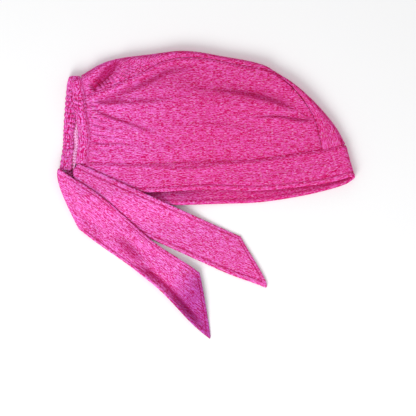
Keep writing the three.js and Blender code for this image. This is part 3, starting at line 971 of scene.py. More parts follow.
def tie_body(cloth, thickness, seed):
    """A tie's own relief: full edges, a sunk topstitch row with painted shade along it, and slight puckers
    along it.
    """
    near_edge = np.minimum.reduce([cloth.distance(side) for side in ("bottom", "top", "end")])
    x, y = cloth.x, cloth.y
    pucker = pleats(cloth.flat[..., 0] / 3.3 + 0.5 * value_noise(x / 7, y / 7, seed))
    relief = 0.1 * bell(near_edge - STITCH_INSET, 2.5) * pucker
    relief += 0.06 * value_noise(x / 5, y / 5, seed + 1)
    cloth.raise_by(relief)
    cloth.paint_shade(1.2 * bell(near_edge - STITCH_INSET, 0.75))
    row = 0.1 * bell(near_edge - 2, 1.2) - 0.36 * bell(near_edge - STITCH_INSET, 0.6)
    return sunk_edge(near_edge, thickness) + thickness * row


def topstitch(body, cloth, thickness, ends):
    """Rows along a tie's two edges and its slanted end; ends says over what share of each side."""
    for side, (start, stop) in ends.items():
        sew(body, cloth, side, STITCH_INSET, thickness / 2 - 0.25, start, stop)


def near_tie(sizes, material):
    """The near tie, from the band over the hem and down to the ground. w is 0 at its upper edge."""
    thickness = sizes.tie_thickness / MM
    t, w = np.linspace(0, 1, 230)[:, None], np.linspace(0, 1, 46)[None]
    # Its sewn end slants, and is a little hollow on its upper half.
    start = 24 * w**1.2 - 6.0 * np.sin(np.pi * np.clip(w / 0.62, 0, 1)) ** 1.15
    stop = NEAR_TIE_LENGTH - TIE_SLANT * (1 - w) ** 1.15 - TIE_TAPER * w**10
    length = mix(start, stop, t)
    offset = -w * (TIE_WIDTH - TIE_TAPER * ease(0.77 * NEAR_TIE_LENGTH, NEAR_TIE_LENGTH, length))
    plan = NEAR_TIE.place(length, offset)
    x, y = plan[..., 0], plan[..., 1]
    z = near_tie_under(y) + thickness / 2 + 0.15
    free = ease(112, 135, length)  # past its hinge it lies on the ground by itself
    z += free * (0.5 + 0.5 * value_noise(length / 24, offset / 16, 51))
    z += 0.2 * ease(30, 60, length) * (1 + value_noise(length / 15 + 9, offset / 12, 52)) * (1 - free)
    z += 0.7 * bell(length - stop, 7) * ease(0.2, 0.9, w)
    points = np.dstack([x, y, z])[:, ::-1]
    cloth = Cloth(points, np.dstack([length, offset])[:, ::-1])
    cloth.lilac = 1 - 0.45 * ease(60, 185, length)[:, ::-1]
    # Painted shadow of the far tie's upper edge on the near tie.
    far_length = (cloth.points[..., :2] - FAR_TIE.root) @ FAR_TIE.along
    far_edge = far_tie_side(far_length, 0.0)
    cloth.shade = painted_tie_shadow(FAR_TIE, cloth.x, cloth.y, far_edge) * (far_length > 0)
    depth = tie_body(cloth, thickness, 53)
    topstitch("near_tie", cloth, thickness, {"top": (0.01, 0.98), "bottom": (0.01, 0.96), "end": (0.12, 0.9)})
    return cloth.build("near_tie", depth, material)


def far_tie_side(length, w):
    """Offset from the far tie's line: w is 0 at its bowed upper edge and 1 at its lower one."""
    wave = 2 + 1.8 * np.cos(2 * np.pi * (length - 48) / 105)
    lower = -FAR_TIE_WIDTH + 2 * ease(60, 110, length) - FAR_TIE_FLARE * ease(125, 190, length)
    return mix(wave, lower, w)


def far_tie_hinge(w):
    """How far along the tie its run starts, on the joint's line."""
    return FOLD_ROLL + FOLD_SLANT * w


def far_fold_under(w, thickness):
    """The underside of the top layer along the hinge line."""
    return mix(LAY + SEAM_GAP + thickness + TIE_GAP, thickness + 2 * SEAM_GAP, w)


def far_tie_under(x, y, thickness):
    """Height of what the far tie lies on: the near tie, its own root, then the ground."""
    over_near = ease(-TIE_WIDTH - 14, -TIE_WIDTH - 2, NEAR_TIE.offset(x, y))
    over_tie = near_tie_under(y) + over_near * (thickness + TIE_GAP)
    over_root = (thickness + SEAM_GAP) * (1 - ease(FAR_BAND_END, FAR_BAND_END + 9, x))
    return np.maximum(over_tie, over_root)


def far_tie_run(sizes, material):
    """The far tie from its fold to its point, lying across the near tie and then on the ground."""
    thickness = sizes.tie_thickness / MM
    t, w = np.linspace(0, 1, 250)[:, None], np.linspace(0, 1, 48)[None]
    start = far_tie_hinge(w) + 0 * t
    stop = FAR_TIE_LENGTH - (1 - w) * TIE_SLANT * 1.04 + 3 * w * (1 - w**5)
    length = mix(start, stop, t)
    offset = far_tie_side(length, w)
    plan = FAR_TIE.place(length, offset)
    x, y = plan[..., 0], plan[..., 1]
    settled = ease(0, 10, length - start)
    under = mix(far_fold_under(w, thickness), far_tie_under(x, y, thickness), settled)
    folds = sizes.fold_height / MM
    free = ease(95, 120, length)  # past the near tie it lies on the ground by itself
    lift = free * (0.5 + 0.5 * value_noise(length / 22, offset / 14, 61))
    # A soft valley crosses the tie, and beyond it the lower edge curls up.
    lift += ease(58, 80, length) * step_fold(
        x, y, [(-76, -33), (-65, -46), (-54, -60), (-44, -74)], 1.1 * folds, 2.5, 9)
    curl = free * (1 - ease(165, 192, length))
    from_lower = (w - 1) * (offset[:, -1:] - offset[:, :1])
    lift += curl * (3.6 * folds * bell(from_lower, 4.0) - 0.6 * bell(from_lower - 7, 3.5))
    lift += 3.6 * folds * free * ease(0.1, 0.75, 1 - w) * ease(110, 150, length)
    lift += 0.25 * settled * (1 - free) * (1 + value_noise(length / 14, offset / 10, 62))
    points = np.dstack([x, y, under + thickness / 2 + lift])[:, ::-1]
    cloth = Cloth(points, np.dstack([length, offset])[:, ::-1])
    # Above 1 the lilac attribute paints shade: the tie's end is turned away from the key light.
    cloth.lilac = 1 + ease(132, 162, length)[:, ::-1]
    # Painted shade in the valley beside the curled lower edge and in the valley across the tie.
    valley = curl * bell(from_lower - 5.5, 2.6)
    valley = np.maximum(valley, 0.8 * ridge(x, y, [(-79, -37), (-68, -48), (-58, -58)], 1.0, 4.0))
    cloth.shade = 1.3 * valley[:, ::-1]
    depth = tie_body(cloth, thickness, 63)
    topstitch("far_tie", cloth, thickness, {"top": (0.01, 0.98), "bottom": (0.02, 0.97), "end": (0.12, 0.9)})
    return cloth.build("far_tie", depth, material)


def far_tie_root(sizes, material):
    """The far tie from the band's far end to its fold, round it and up to where the run starts."""
    thickness = sizes.tie_thickness / MM
    inset = thickness / 2
    w = np.linspace(0, 1, 60)
    sewn = np.column_stack([
        np.full(w.shape, FAR_BAND_END - SEAM_GAP), mix(float(band_seam(FAR_BAND_END)) - 1, HEM, w)])
    turn_at = FOLD_SLANT * w**1.6 + FOLD_ROLL
    turn = FAR_TIE.place(turn_at, far_tie_side(turn_at, w))
    top = far_fold_under(w, thickness) + thickness
    half = top / 2
    columns = []
    lower_columns, turn_columns, upper_columns = 22, 17, 9
    for k in np.linspace(0, 1, lower_columns, endpoint=False):
        plan = mix(sewn, turn, k)
        # Between the near tie and the casing the lower layer bulges up, where it shows in the fold.
        plan[:, 1] += 3.0 * (1 - w) ** 5 * math.sin(math.pi * k)
        bulge = 5.0 * bell(plan[:, 0] + 118, 4.5) * bell(plan[:, 1] - 18, 7) * ease(0, 0.1, w)
        columns.append(np.column_stack([plan, inset + bulge]))
    for angle in np.pi * np.linspace(0, 1, turn_columns):
        length = turn_at - (FOLD_ROLL - inset) * math.sin(angle)
        plan = FAR_TIE.place(length, far_tie_side(length, w))
        columns.append(np.column_stack([plan, half - (half - inset) * math.cos(angle)]))
    for k in np.linspace(0, 1, upper_columns)[1:]:
        length = mix(turn_at, far_tie_hinge(w) + 1.2, k)
        plan = FAR_TIE.place(length, far_tie_side(length, w))
        columns.append(np.column_stack([plan, top - inset - 0.05 * k]))
    points = np.stack(columns, 0)
    girth = np.concatenate([np.zeros((1, len(w))), np.cumsum(
        np.linalg.norm(np.diff(points, axis=0), axis=-1), 0)])
    flat = np.dstack([girth, -w * FAR_TIE_WIDTH + 0 * girth])
    cloth = Cloth(points, flat)
    cloth.lilac = np.ones(points.shape[:2])
    edge = np.minimum(cloth.distance("bottom"), cloth.distance("top"))
    # Painted shade along the stitch rows and inside the fold's pocket.
    cloth.shade = 0.35 * bell(edge - STITCH_INSET, 0.6)
    lower_layer = np.arange(len(points))[:, None] < lower_columns + 2
    inside = (cloth.points[..., 2] < half) & lower_layer
    cloth.paint_shade(0.5 * inside * bell(FAR_TIE.offset(cloth.x, cloth.y) - 5, 2))
    for side in ("top", "bottom"):
        sew("cap", cloth, side, STITCH_INSET, thickness / 2 - 0.1, 0.02, 0.98)
    return cloth.build("far_tie_fold", sunk_edge(edge, thickness), material)


# ---- materials ----

def set_inputs(tree, node, inputs):
    """Links the inputs that are given as sockets and sets the others."""
    for key, value in inputs.items():
        if isinstance(value, bpy.types.NodeSocket):
            tree.links.new(value, node.inputs[key])
        else:
            node.inputs[key].default_value = value


def new_node(tree, kind, inputs=None, **settings):
    """Adds a node, sets its properties, and sets or links its inputs."""
    made = tree.nodes.new(kind)
    for key, value in settings.items():
        setattr(made, key, value)
    set_inputs(tree, made, inputs or {})
    return made


def math_node(tree, operation, *values):
    return new_node(tree, "ShaderNodeMath", dict(enumerate(values)), operation=operation).outputs[0]


def new_group(name, inputs, outputs):
    """A shader group with named inputs (socket type, default) and outputs (socket type)."""
    group = bpy.data.node_groups.new(name, "ShaderNodeTree")
    for label, (kind, value) in inputs.items():
        socket = group.interface.new_socket(name=label, in_out="INPUT", socket_type=kind)
        if value is not None:
            socket.default_value = value
    for label, kind in outputs.items():
        group.interface.new_socket(name=label, in_out="OUTPUT", socket_type=kind)
    return group, group.nodes.new("NodeGroupInput").outputs, group.nodes.new("NodeGroupOutput").inputs


VECTOR, FLOAT = "NodeSocketVector", "NodeSocketFloat"


def heather_group():
    """Streaks of dyed and undyed yarn, and pale flecks.

    Place is where a point lies on the cloth, in metres, and the streaks' sizes are in millimetres.
    """
    group, given, result = new_group(
        "heather_yarn",
        {"Place": (VECTOR, None), "Streak length": (FLOAT, 6.0), "Streak width": (FLOAT, 0.8),
         "Contrast": (FLOAT, 1.0)},
        {"Tone": FLOAT, "Flecks": FLOAT})

    def streaks(length, width, detail, shift):
        """Noise from -0.5 to 0.5; length and width are shares of the streaks' own."""
        long = math_node(group, "MULTIPLY", given["Streak length"], length)
        wide = math_node(group, "MULTIPLY", given["Streak width"], width)
        size = new_node(group, "ShaderNodeCombineXYZ", {
            0: math_node(group, "DIVIDE", 1 / MM, long), 1: math_node(group, "DIVIDE", 1 / MM, wide),
        }).outputs[0]
        place = new_node(group, "ShaderNodeVectorMath", {0: given["Place"], 1: size}, operation="MULTIPLY")
        moved = new_node(group, "ShaderNodeVectorMath", {0: place.outputs[0], 1: (shift, shift / 3, 0.0)})
        noise = new_node(group, "ShaderNodeTexNoise", {
            "Vector": moved.outputs[0], "Scale": 1.0, "Detail": detail, "Roughness": 0.6})
        return math_node(group, "SUBTRACT", noise.outputs[0], 0.5)

    yarn = math_node(group, "MULTIPLY", streaks(1.1, 0.75, 1.0, 0.0), 1.5)
    fine = math_node(group, "MULTIPLY", streaks(0.3, 0.7, 1.0, 17.0), 1.7)
    broad = math_node(group, "MULTIPLY", streaks(5.0, 6.0, 1.0, 41.0), 0.3)
    total = math_node(group, "ADD", math_node(group, "ADD", yarn, fine), broad)
    tone = math_node(group, "MULTIPLY_ADD", total, given["Contrast"], 0.5)
    group.links.new(tone, result["Tone"])
    fleck = streaks(0.45, 0.5, 0.0, 73.0)
    mask = new_node(group, "ShaderNodeMapRange", {0: fleck, 1: 0.13, 2: 0.26, 3: 0.0, 4: 1.0})
    group.links.new(mask.outputs[0], result["Flecks"])
    return group


def knit_group():
    """The relief of plain jersey: columns of small V-shaped loops."""
    group, given, result = new_group(
        "knit_loops",
        {"Place": (VECTOR, None), "Loop width": (FLOAT, 0.85), "Loop height": (FLOAT, 0.62)},
        {"Height": FLOAT})
    split = new_node(group, "ShaderNodeSeparateXYZ", {0: given["Place"]}).outputs

    def in_loops(value, size):
        return math_node(group, "DIVIDE", math_node(group, "MULTIPLY", value, 1 / MM), size)

    column = math_node(group, "FRACT", in_loops(split[0], given["Loop width"]))
    off_middle = math_node(group, "ABSOLUTE", math_node(group, "SUBTRACT", column, 0.5))
    arm = math_node(group, "MULTIPLY", off_middle, 2.0)
    course = math_node(group, "MULTIPLY_ADD", arm, 0.6, in_loops(split[1], given["Loop height"]))
    wave = math_node(group, "SINE", math_node(group, "MULTIPLY", course, 2 * math.pi))
    groove = math_node(group, "SINE", math_node(group, "MULTIPLY", arm, math.pi))
    height = math_node(group, "MULTIPLY_ADD", wave, 0.35, math_node(group, "MULTIPLY", groove, 0.6))
    group.links.new(height, result["Height"])
    return group


def group_node(tree, name, inputs):
    return new_node(tree, "ShaderNodeGroup", inputs, node_tree=bpy.data.node_groups[name]).outputs


def blank_material(name):
    """A new material's nodes and its shader."""
    material = bpy.data.materials.new(name)
    material.use_nodes = True
    tree = material.node_tree
    return tree, tree.nodes["Principled BSDF"]


SHADER_SOCKETS = {
    "base": "Base Color", "roughness": "Roughness", "specular": "Specular IOR Level",
    "sheen": "Sheen Weight", "sheen_roughness": "Sheen Roughness", "sheen_tint": "Sheen Tint"}


def finish_surface(tree, shader, colour=None, relief=None, strength=1.0, distance=0.0, **constants):
    """Feeds a shader its colour and bump, and sets its constants on its own sockets."""
    if colour is not None:
        tree.links.new(colour, shader.inputs["Base Color"])
    if relief is not None:
        bump = new_node(tree, "ShaderNodeBump", {
            "Height": relief, "Strength": strength, "Distance": distance})
        tree.links.new(bump.outputs[0], shader.inputs["Normal"])
    for name, value in constants.items():
        shader.inputs[SHADER_SOCKETS[name]].default_value = value


def blend_colours(tree, factor, first, second, kind="MIX"):
    made = new_node(
        tree, "ShaderNodeMix", {0: factor, 6: first, 7: second}, data_type="RGBA", blend_type=kind)
    return made.outputs[2]


def opaque(colour):
    """A colour with its alpha, as a colour socket takes it."""
    return (*colour[:3], 1.0)


def jersey(name, colours, contrast, streak=6.5, pale=0.0):
    """Heathered jersey: streaky yarn with pale flecks, redder towards the brow, with painted shade in its
    creases.

    The piece's lilac attribute is 0 at the brow and 1 at the nape, and up to 2 where the cloth is turned
    away from the key light and gets a dusky painted shade. Its shade attribute is painted shade: how deep in
    a crease or shadow a point is.
    """
    tree, shader = blank_material(name)
    place = new_node(tree, "ShaderNodeUVMap", uv_map="cloth").outputs[0]
    lilac = new_node(tree, "ShaderNodeAttribute", attribute_name="lilac").outputs["Fac"]
    shade = new_node(tree, "ShaderNodeAttribute", attribute_name="shade").outputs["Fac"]
    heather = group_node(tree, "heather_yarn", {
        "Place": place, "Contrast": math_node(tree, "MULTIPLY_ADD", lilac, 0.15 * contrast, contrast),
        "Streak length": streak})
    ramp = new_node(tree, "ShaderNodeValToRGB", {0: heather["Tone"]})
    stops = ramp.color_ramp.elements
    stops[0].position, stops[0].color = 0.08, opaque(colours.dark)
    stops[1].position, stops[1].color = 0.92, opaque(colours.light)
    middle = stops.new(0.47)
    middle.color = opaque(colours.middle)
    from_brow = math_node(tree, "MINIMUM", lilac, 1.0)
    tint = blend_colours(tree, from_brow, opaque(colours.brow_tint), opaque((1.0, 1.0, 1.0)))
    yarn = blend_colours(tree, 1.0, ramp.outputs[0], tint, "MULTIPLY")
    flecks = math_node(tree, "MULTIPLY", heather["Flecks"], 0.62)
    cloth = blend_colours(tree, flecks, yarn, opaque(colours.fleck))
    if pale:
        cloth = blend_colours(tree, pale, cloth, opaque(colours.fleck))
    # Painted shade: the shade attribute multiplies the colour by the crease colour.
    depth = math_node(tree, "MULTIPLY", shade, 0.75)
    shaded = blend_colours(tree, depth, cloth, opaque(colours.crease), "MULTIPLY")
    # Painted shade on cloth turned away from the key light, where the lilac attribute is above 1.
    turned = new_node(
        tree, "ShaderNodeMath", {0: lilac, 1: 1.0}, operation="SUBTRACT", use_clamp=True).outputs[0]
    colour = blend_colours(tree, turned, shaded, opaque(colours.turned_away_shade), "MULTIPLY")
    knit = group_node(tree, "knit_loops", {"Place": place})
    relief = math_node(tree, "MULTIPLY_ADD", heather["Tone"], 0.8, knit["Height"])
    finish_surface(
        tree, shader, colour, relief, strength=0.45, distance=0.00014, roughness=0.92, specular=0.06,
        sheen=0.05, sheen_roughness=0.5, sheen_tint=opaque(colours.light))


def thread_material(colours):
    """Polyester thread in the yarn's hue with the twist of its plies, darker than the yarn as painted shade
    of the small shadows at the stitches.
    """
    tree, shader = blank_material("thread_with_painted_shade")
    place = new_node(tree, "ShaderNodeTexCoord").outputs["Object"]
    twist = new_node(tree, "ShaderNodeTexNoise", {"Vector": place, "Scale": 2600.0, "Detail": 1.0}).outputs[0]
    tone = blend_colours(tree, twist, opaque(colours.thread), opaque(colours.dark))
    finish_surface(tree, shader, tone, twist, strength=0.4, distance=0.0001, roughness=0.6, specular=0.12)


def elastic_material(colours):
    """Braided elastic: ribs along it and the zigzag of its rubber."""
    tree, shader = blank_material("braided_elastic")
    place = new_node(tree, "ShaderNodeUVMap", uv_map="cloth").outputs[0]
    split = new_node(tree, "ShaderNodeSeparateXYZ", {0: place}).outputs
    rib_spacing, cross_spacing = 0.0009, 0.0016
    ribs = math_node(tree, "SINE", math_node(tree, "MULTIPLY", split[1], 2 * math.pi / rib_spacing))
    cross = math_node(tree, "SINE", math_node(tree, "MULTIPLY", split[0], 2 * math.pi / cross_spacing))
    relief = math_node(tree, "MULTIPLY_ADD", cross, 0.4, ribs)
    share = new_node(tree, "ShaderNodeMapRange", {0: relief, 1: -1.4, 2: 1.4, 3: 0.0, 4: 1.0}).outputs[0]
    tone = blend_colours(tree, share, opaque(colours.fleck), opaque(colours.elastic))
    finish_surface(tree, shader, tone, relief, strength=0.6, distance=0.0002, roughness=0.7)


def floor_material(colours):
    tree, shader = blank_material("pale_floor")
    finish_surface(tree, shader, base=opaque(colours.floor), roughness=0.9, specular=0.1)


# ---- stitches ----

def stitch_tree():
    """Lays a short capsule of thread along each path, one stitch after another."""
    tree = bpy.data.node_groups.new("stitch_row", "GeometryNodeTree")
    sockets = [
        ("Paths", "INPUT", "NodeSocketGeometry", None), ("Stitch length", "INPUT", FLOAT, 0.0024),
        ("Gap", "INPUT", FLOAT, 0.0006), ("Thread width", "INPUT", FLOAT, 0.0005),
        ("Seed", "INPUT", "NodeSocketInt", 7), ("Thread", "INPUT", "NodeSocketMaterial", None),
        ("Stitches", "OUTPUT", "NodeSocketGeometry", None)]
    for label, way, kind, value in sockets:
        socket = tree.interface.new_socket(name=label, in_out=way, socket_type=kind)
        if value is not None:
            socket.default_value = value
    given, result = tree.nodes.new("NodeGroupInput").outputs, tree.nodes.new("NodeGroupOutput").inputs
    curve = new_node(tree, "GeometryNodeMeshToCurve", {"Mesh": given["Paths"]})
    pitch = math_node(tree, "ADD", given["Stitch length"], given["Gap"])
    even = new_node(tree, "GeometryNodeResampleCurve", {"Curve": curve.outputs[0]}, mode="LENGTH")
    tree.links.new(pitch, even.inputs["Length"])
    capsule = new_node(tree, "GeometryNodeMeshUVSphere", {"Segments": 8, "Rings": 5, "Radius": 0.5})
    low = math_node(tree, "MULTIPLY", given["Thread width"], 0.75)
    size = new_node(tree, "ShaderNodeCombineXYZ", {
        0: given["Stitch length"], 1: given["Thread width"], 2: low})
    shaped = new_node(tree, "GeometryNodeTransform", {
        "Geometry": capsule.outputs[0], "Scale": size.outputs[0]})
    tangent = new_node(tree, "GeometryNodeInputTangent").outputs[0]
    lengthwise = new_node(tree, "FunctionNodeAlignRotationToVector", {"Vector": tangent}, axis="X")
    facing = new_node(tree, "GeometryNodeInputNamedAttribute", {"Name": "up"}, data_type="FLOAT_VECTOR")
    upright = new_node(tree, "FunctionNodeAlignRotationToVector", {
        "Rotation": lengthwise.outputs[0], "Vector": facing.outputs[0]}, axis="Z", pivot_axis="X")
    uneven = new_node(tree, "FunctionNodeRandomValue", data_type="FLOAT")
    floats = [s for s in uneven.inputs if s.type == "VALUE" and s.enabled]
    floats[0].default_value, floats[1].default_value = 0.88, 1.08
    tree.links.new(given["Seed"], [s for s in uneven.inputs if s.name == "Seed"][0])
    spread = [s for s in uneven.outputs if s.enabled][0]
    placed = new_node(tree, "GeometryNodeInstanceOnPoints", {
        "Points": even.outputs[0], "Instance": shaped.outputs[0], "Rotation": upright.outputs[0],
        "Scale": spread})
    real = new_node(tree, "GeometryNodeRealizeInstances", {"Geometry": placed.outputs[0]})
    smooth = new_node(tree, "GeometryNodeSetShadeSmooth", {"Geometry": real.outputs[0]})
    painted = new_node(tree, "GeometryNodeSetMaterial", {
        "Geometry": smooth.outputs[0], "Material": given["Thread"]})
    tree.links.new(painted.outputs[0], result["Stitches"])
    return tree


def stitch_piece(name, rows, tree, settings, thread):
    """The rows as paths, sewn by the stitch tree and made one plain mesh."""
    places, ups, edges = [], [], []
    lowest = settings.thread_width / 2  # so that no stitch reaches below the ground
    for points, normals in rows:
        first = len(places)
        raised = points * MM
        raised[:, 2] = np.maximum(raised[:, 2], lowest)
        places += raised.tolist()
        ups += normals.tolist()
        edges += [(k, k + 1) for k in range(first, len(places) - 1)]
    paths = bpy.data.meshes.new(name + "_paths")
    paths.from_pydata(places, edges, [])
    attribute = paths.attributes.new("up", "FLOAT_VECTOR", "POINT")
    attribute.data.foreach_set("vector", np.array(ups, np.float32).ravel())
    guide = bpy.data.objects.new(name + "_paths", paths)
    bpy.context.scene.collection.objects.link(guide)
    modifier = guide.modifiers.new("stitches", "NODES")
    modifier.node_group = tree
    values = {
        "Stitch length": settings.stitch_length, "Gap": settings.stitch_gap,
        "Thread width": settings.thread_width, "Seed": settings.seed, "Thread": thread}
    for item in tree.interface.items_tree:
        if item.item_type == "SOCKET" and item.in_out == "INPUT" and item.name in values:
            modifier[item.identifier] = values[item.name]
    evaluated = guide.evaluated_get(bpy.context.evaluated_depsgraph_get())
    mesh = bpy.data.meshes.new_from_object(evaluated)
    bpy.data.objects.remove(guide)
    mesh.name = name
    piece = bpy.data.objects.new(name, mesh)
    bpy.context.scene.collection.objects.link(piece)
    return piece


# ---- properties ----

def length_property(name, description, default):
    return FloatProperty(name=name, description=description, default=default, unit="LENGTH")


class ClothSizes(bpy.types.PropertyGroup):
    """Sizes of the cloth and of its folds."""
    ply: length_property("Ply", "Thickness of one ply of jersey", 0.0009)
    tie_thickness: length_property("Tie thickness", "Two plies with their turnings", 0.0016)
    edge_roll: length_property("Edge roll", "Radius of the cloth's turn into a seam", 0.0005)
    pleat_spacing: length_property("Pleat spacing", "Distance between the casing's pleats", 0.0046)
    pleat_height: length_property("Pleat height", "How far the casing's pleats stand out", 0.0008)
    fold_height: length_property("Fold height", "How far the cloth's soft folds rise and sink", 0.001)


class ThreadSizes(bpy.types.PropertyGroup):
    """Sizes of the stitching."""
    stitch_length: length_property("Stitch length", "Length of one stitch", 0.0021)
    stitch_gap: length_property("Gap", "Between one stitch and the next", 0.0007)
    thread_width: length_property("Thread width", "Width of the thread", 0.00065)
    seed: IntProperty(name="Seed", description="Seed of the stitches' unevenness", default=7)


def colour_property(name, description, default):
    return FloatVectorProperty(
        name=name, description=description, default=default, subtype="COLOR", min=0.0, max=1.0)


class ClothColours(bpy.types.PropertyGroup):
    """Colours of the yarn, the thread, the elastic and the floor, and of the painted shade."""
    dark: colour_property("Dark yarn", "The deepest streaks", (0.62, 0.008, 0.15))
    middle: colour_property("Yarn", "The main colour", (0.785, 0.032, 0.34))
    light: colour_property("Light yarn", "The palest streaks", (0.9, 0.2, 0.7))
    brow_tint: colour_property("Brow tint", "What tints the cloth towards the brow", (0.93, 0.55, 0.68))
    fleck: colour_property("Flecks", "Undyed fibres", (0.95, 0.5, 0.85))
    # Painted shade: the crease colour darkens cloth in creases and shadows, the next one cloth turned away
    # from the key light.
    crease: colour_property("Crease", "What creases are darkened with", (0.62, 0.1, 0.32))
    turned_away_shade: colour_property("Dusk", "What cloth that is turned away is darkened with", (0.62, 0.46, 0.68))
    # The thread is darker than the yarn, partly as painted shade of the small shadows at the stitches.
    thread: colour_property("Thread", "Sewing thread", (0.4, 0.012, 0.12))
    elastic: colour_property("Elastic", "Braided elastic", (0.88, 0.85, 0.87))
    floor: colour_property("Floor", "The pale floor", (0.955, 0.955, 0.96))


class StageSettings(bpy.types.PropertyGroup):
    """The light and the camera."""
    key_power: FloatProperty(
        name="Key light", description="The soft light from the hem's side", default=8.0, unit="POWER")
    key_size: length_property("Key size", "Width of that light", 0.7)
    sky_strength: FloatProperty(
        name="Sky", description="Strength of the even light all round", default=0.7)
    camera_x: length_property("Camera X", "Where the camera stands over the cap", 0.0015)
    camera_y: length_property("Camera Y", "Where the camera stands over the cap", -0.0113)
    camera_height: length_property("Camera height", "Above the middle of the cap's height", 0.8557)
    lens: FloatProperty(name="Lens", description="Focal length in millimetres", default=85.0)


SETTINGS = {"bandana_cloth": ClothSizes, "bandana_thread": ThreadSizes, "bandana_colours": ClothColours,
            "bandana_stage": StageSettings}


# ---- operators ----

def finish_piece(piece, body, slot, *nodes):
    """Ties a piece to its body and hides the solids that it stands for; slot is not used."""
    if body:
        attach(piece, body)
    if nodes:
        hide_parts(*nodes)
    return piece


class BANDANA_OT_materials(bpy.types.Operator):
    """Makes the jersey, thread and elastic materials"""
    bl_idname = "bandana.materials"
    bl_label = "Materials"

    def execute(self, context):
        colours = context.scene.bandana_colours
        heather_group()
        knit_group()
        jersey("heather_crown", colours, contrast=3.1)
        jersey("heather_band", colours, contrast=3.1)
        jersey("heather_tie", colours, contrast=3.7, streak=7.0, pale=0.02)
        jersey("heather_lining", colours, contrast=1.6)
        jersey("heather_seam_edge", colours, contrast=0.8, streak=2.0, pale=0.8)
        thread_material(colours)
        elastic_material(colours)
        floor_material(colours)
        return {"FINISHED"}


class BANDANA_OT_side_panels(bpy.types.Operator):
    """Makes the near and far side panels"""
    bl_idname = "bandana.side_panels"
    bl_label = "Side panels"

    def execute(self, context):
        sizes = context.scene.bandana_cloth
        material = bpy.data.materials["heather_crown"]
        near = finish_piece(near_side_panel(sizes, material), "cap", "crown_jersey", "near_side_panel")
        far = finish_piece(far_side_panel(sizes, material), "cap", "crown_jersey", "far_side_panel")
        return {"FINISHED"}


class BANDANA_OT_crown_panel(bpy.types.Operator):
    """Makes the crown panel, folded over along the top"""
    bl_idname = "bandana.crown_panel"
    bl_label = "Crown panel"

    def execute(self, context):
        sizes = context.scene.bandana_cloth
        piece = crown_panel(sizes, bpy.data.materials["heather_crown"])
        finish_piece(piece, "cap", "crown_jersey", "crown_panel")
        return {"FINISHED"}


class BANDANA_OT_front_band(bpy.types.Operator):
    """Makes the front band and its lining"""
    bl_idname = "bandana.front_band"
    bl_label = "Front band"

    def execute(self, context):
        sizes = context.scene.bandana_cloth
        band = front_band(sizes, bpy.data.materials["heather_band"])
        finish_piece(band, "cap", "band_jersey", "front_band")
        lining = band_lining(sizes, bpy.data.materials["heather_lining"])
        finish_piece(lining, "cap", "lining_jersey", "band_lining")
        return {"FINISHED"}


class BANDANA_OT_back_casing(bpy.types.Operator):
    """Makes the gathered casing at the nape, its elastic and its seam's edge"""
    bl_idname = "bandana.back_casing"
    bl_label = "Back casing"

    def execute(self, context):
        sizes = context.scene.bandana_cloth
        casing = back_casing(sizes, bpy.data.materials["heather_band"])
        finish_piece(casing, "cap", "band_jersey", "back_casing")
        elastic = back_elastic(bpy.data.materials["braided_elastic"])
        finish_piece(elastic, "cap", "elastic", "back_elastic")
        edge = nape_edge(bpy.data.materials["heather_seam_edge"])
        finish_piece(edge, "cap", "lining_jersey")
        return {"FINISHED"}


class BANDANA_OT_near_tie(bpy.types.Operator):
    """Makes the near tie"""
    bl_idname = "bandana.near_tie"
    bl_label = "Near tie"

    def execute(self, context):
        sizes = context.scene.bandana_cloth
        tie = near_tie(sizes, bpy.data.materials["heather_tie"])
        finish_piece(tie, None, "tie_jersey", "near_tie_root", "near_tie_end")
        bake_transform(tie)
        return {"FINISHED"}


class BANDANA_OT_far_tie(bpy.types.Operator):
    """Makes the far tie: its root with the fold, and its run"""
    bl_idname = "bandana.far_tie"
    bl_label = "Far tie"

    def execute(self, context):
        sizes = context.scene.bandana_cloth
        material = bpy.data.materials["heather_tie"]
        root = finish_piece(far_tie_root(sizes, material), "cap", "tie_jersey", "far_tie_root")
        run = finish_piece(far_tie_run(sizes, material), None, "tie_jersey", "far_tie_run")
        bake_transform(run)
        return {"FINISHED"}


class BANDANA_OT_stitches(bpy.types.Operator):
    """Sews the rows of stitches that the pieces have asked for"""
    bl_idname = "bandana.stitches"
    bl_label = "Stitches"

    def execute(self, context):
        tree = stitch_tree()
        settings = context.scene.bandana_thread
        thread = bpy.data.materials["thread_with_painted_shade"]
        slots = {"cap": "band_jersey", "near_tie": "tie_jersey", "far_tie": "tie_jersey"}
        for body, rows in THREAD_ROWS.items():
            piece = stitch_piece(body + "_stitches", rows, tree, settings, thread)
            finish_piece(piece, "cap" if body == "cap" else None, slots[body])
            if body != "cap":
                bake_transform(piece)
        return {"FINISHED"}


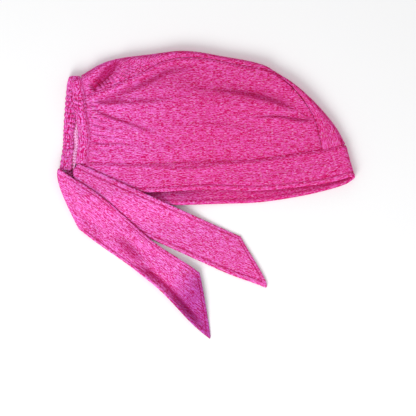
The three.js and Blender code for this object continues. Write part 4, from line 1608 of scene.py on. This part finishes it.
class BANDANA_OT_stage(bpy.types.Operator):
    """Makes the pale floor, the soft lights and the camera above"""
    bl_idname = "bandana.stage"
    bl_label = "Stage"

    def execute(self, context):
        scene = context.scene
        settings = scene.bandana_stage
        reach, below = 3.0, 0.0002
        corners = [(-reach, -reach), (reach, -reach), (reach, reach), (-reach, reach)]
        mesh = bpy.data.meshes.new("floor")
        mesh.from_pydata([(x, y, -below) for x, y in corners], [], [(0, 1, 2, 3)])
        mesh.materials.append(bpy.data.materials["pale_floor"])
        floor = self.add(scene, "floor", mesh)
        light = bpy.data.lights.new("key", "AREA")
        light.shape, light.size, light.energy = "DISK", settings.key_size, settings.key_power
        key = self.add(scene, "key", light)
        key.location = (-0.35, -0.75, 0.8)  # low on the hem's side, towards the nape
        key.rotation_euler = (-Vector(key.location)).to_track_quat("-Z", "Y").to_euler()
        world = bpy.data.worlds.new("even_light")
        world.use_nodes = True
        sky = world.node_tree.nodes["Background"]
        sky.inputs["Color"].default_value = opaque((1.0, 1.0, 1.0))
        sky.inputs["Strength"].default_value = settings.sky_strength
        scene.world = world
        scene.view_settings.view_transform = "Standard"
        data = bpy.data.cameras.new("overhead")
        data.lens = settings.lens
        camera = self.add(scene, "overhead", data)
        height = settings.camera_height + LAY / 2 * MM
        camera.location = (settings.camera_x, settings.camera_y, height)
        scene.camera = camera
        return {"FINISHED"}

    def add(self, scene, name, data):
        made = bpy.data.objects.new(name, data)
        scene.collection.objects.link(made)
        return made


STEPS = (
    BANDANA_OT_materials, BANDANA_OT_side_panels, BANDANA_OT_crown_panel, BANDANA_OT_front_band,
    BANDANA_OT_back_casing, BANDANA_OT_near_tie, BANDANA_OT_far_tie, BANDANA_OT_stitches, BANDANA_OT_stage)


class BANDANA_PT_panel(bpy.types.Panel):
    """Lists the cap's pieces and their sizes"""
    bl_idname = "BANDANA_PT_panel"
    bl_label = "Bandana cap"
    bl_space_type = "VIEW_3D"
    bl_region_type = "UI"
    bl_category = "Bandana cap"

    def draw(self, context):
        for name, group in SETTINGS.items():
            box = self.layout.box()
            for key in group.__annotations__:
                box.prop(getattr(context.scene, name), key)
        for step in STEPS:
            self.layout.operator(step.bl_idname)


CLASSES = (*SETTINGS.values(), *STEPS, BANDANA_PT_panel)


def register():
    for cls in CLASSES:
        bpy.utils.register_class(cls)
    for name, group in SETTINGS.items():
        setattr(bpy.types.Scene, name, PointerProperty(type=group))


def unregister():
    for name in SETTINGS:
        delattr(bpy.types.Scene, name)
    for cls in reversed(CLASSES):
        bpy.utils.unregister_class(cls)


def main():
    register()
    for step in STEPS:
        family, action = step.bl_idname.split(".")
        getattr(getattr(bpy.ops, family), action)()


if __name__ == "__main__":
    main()
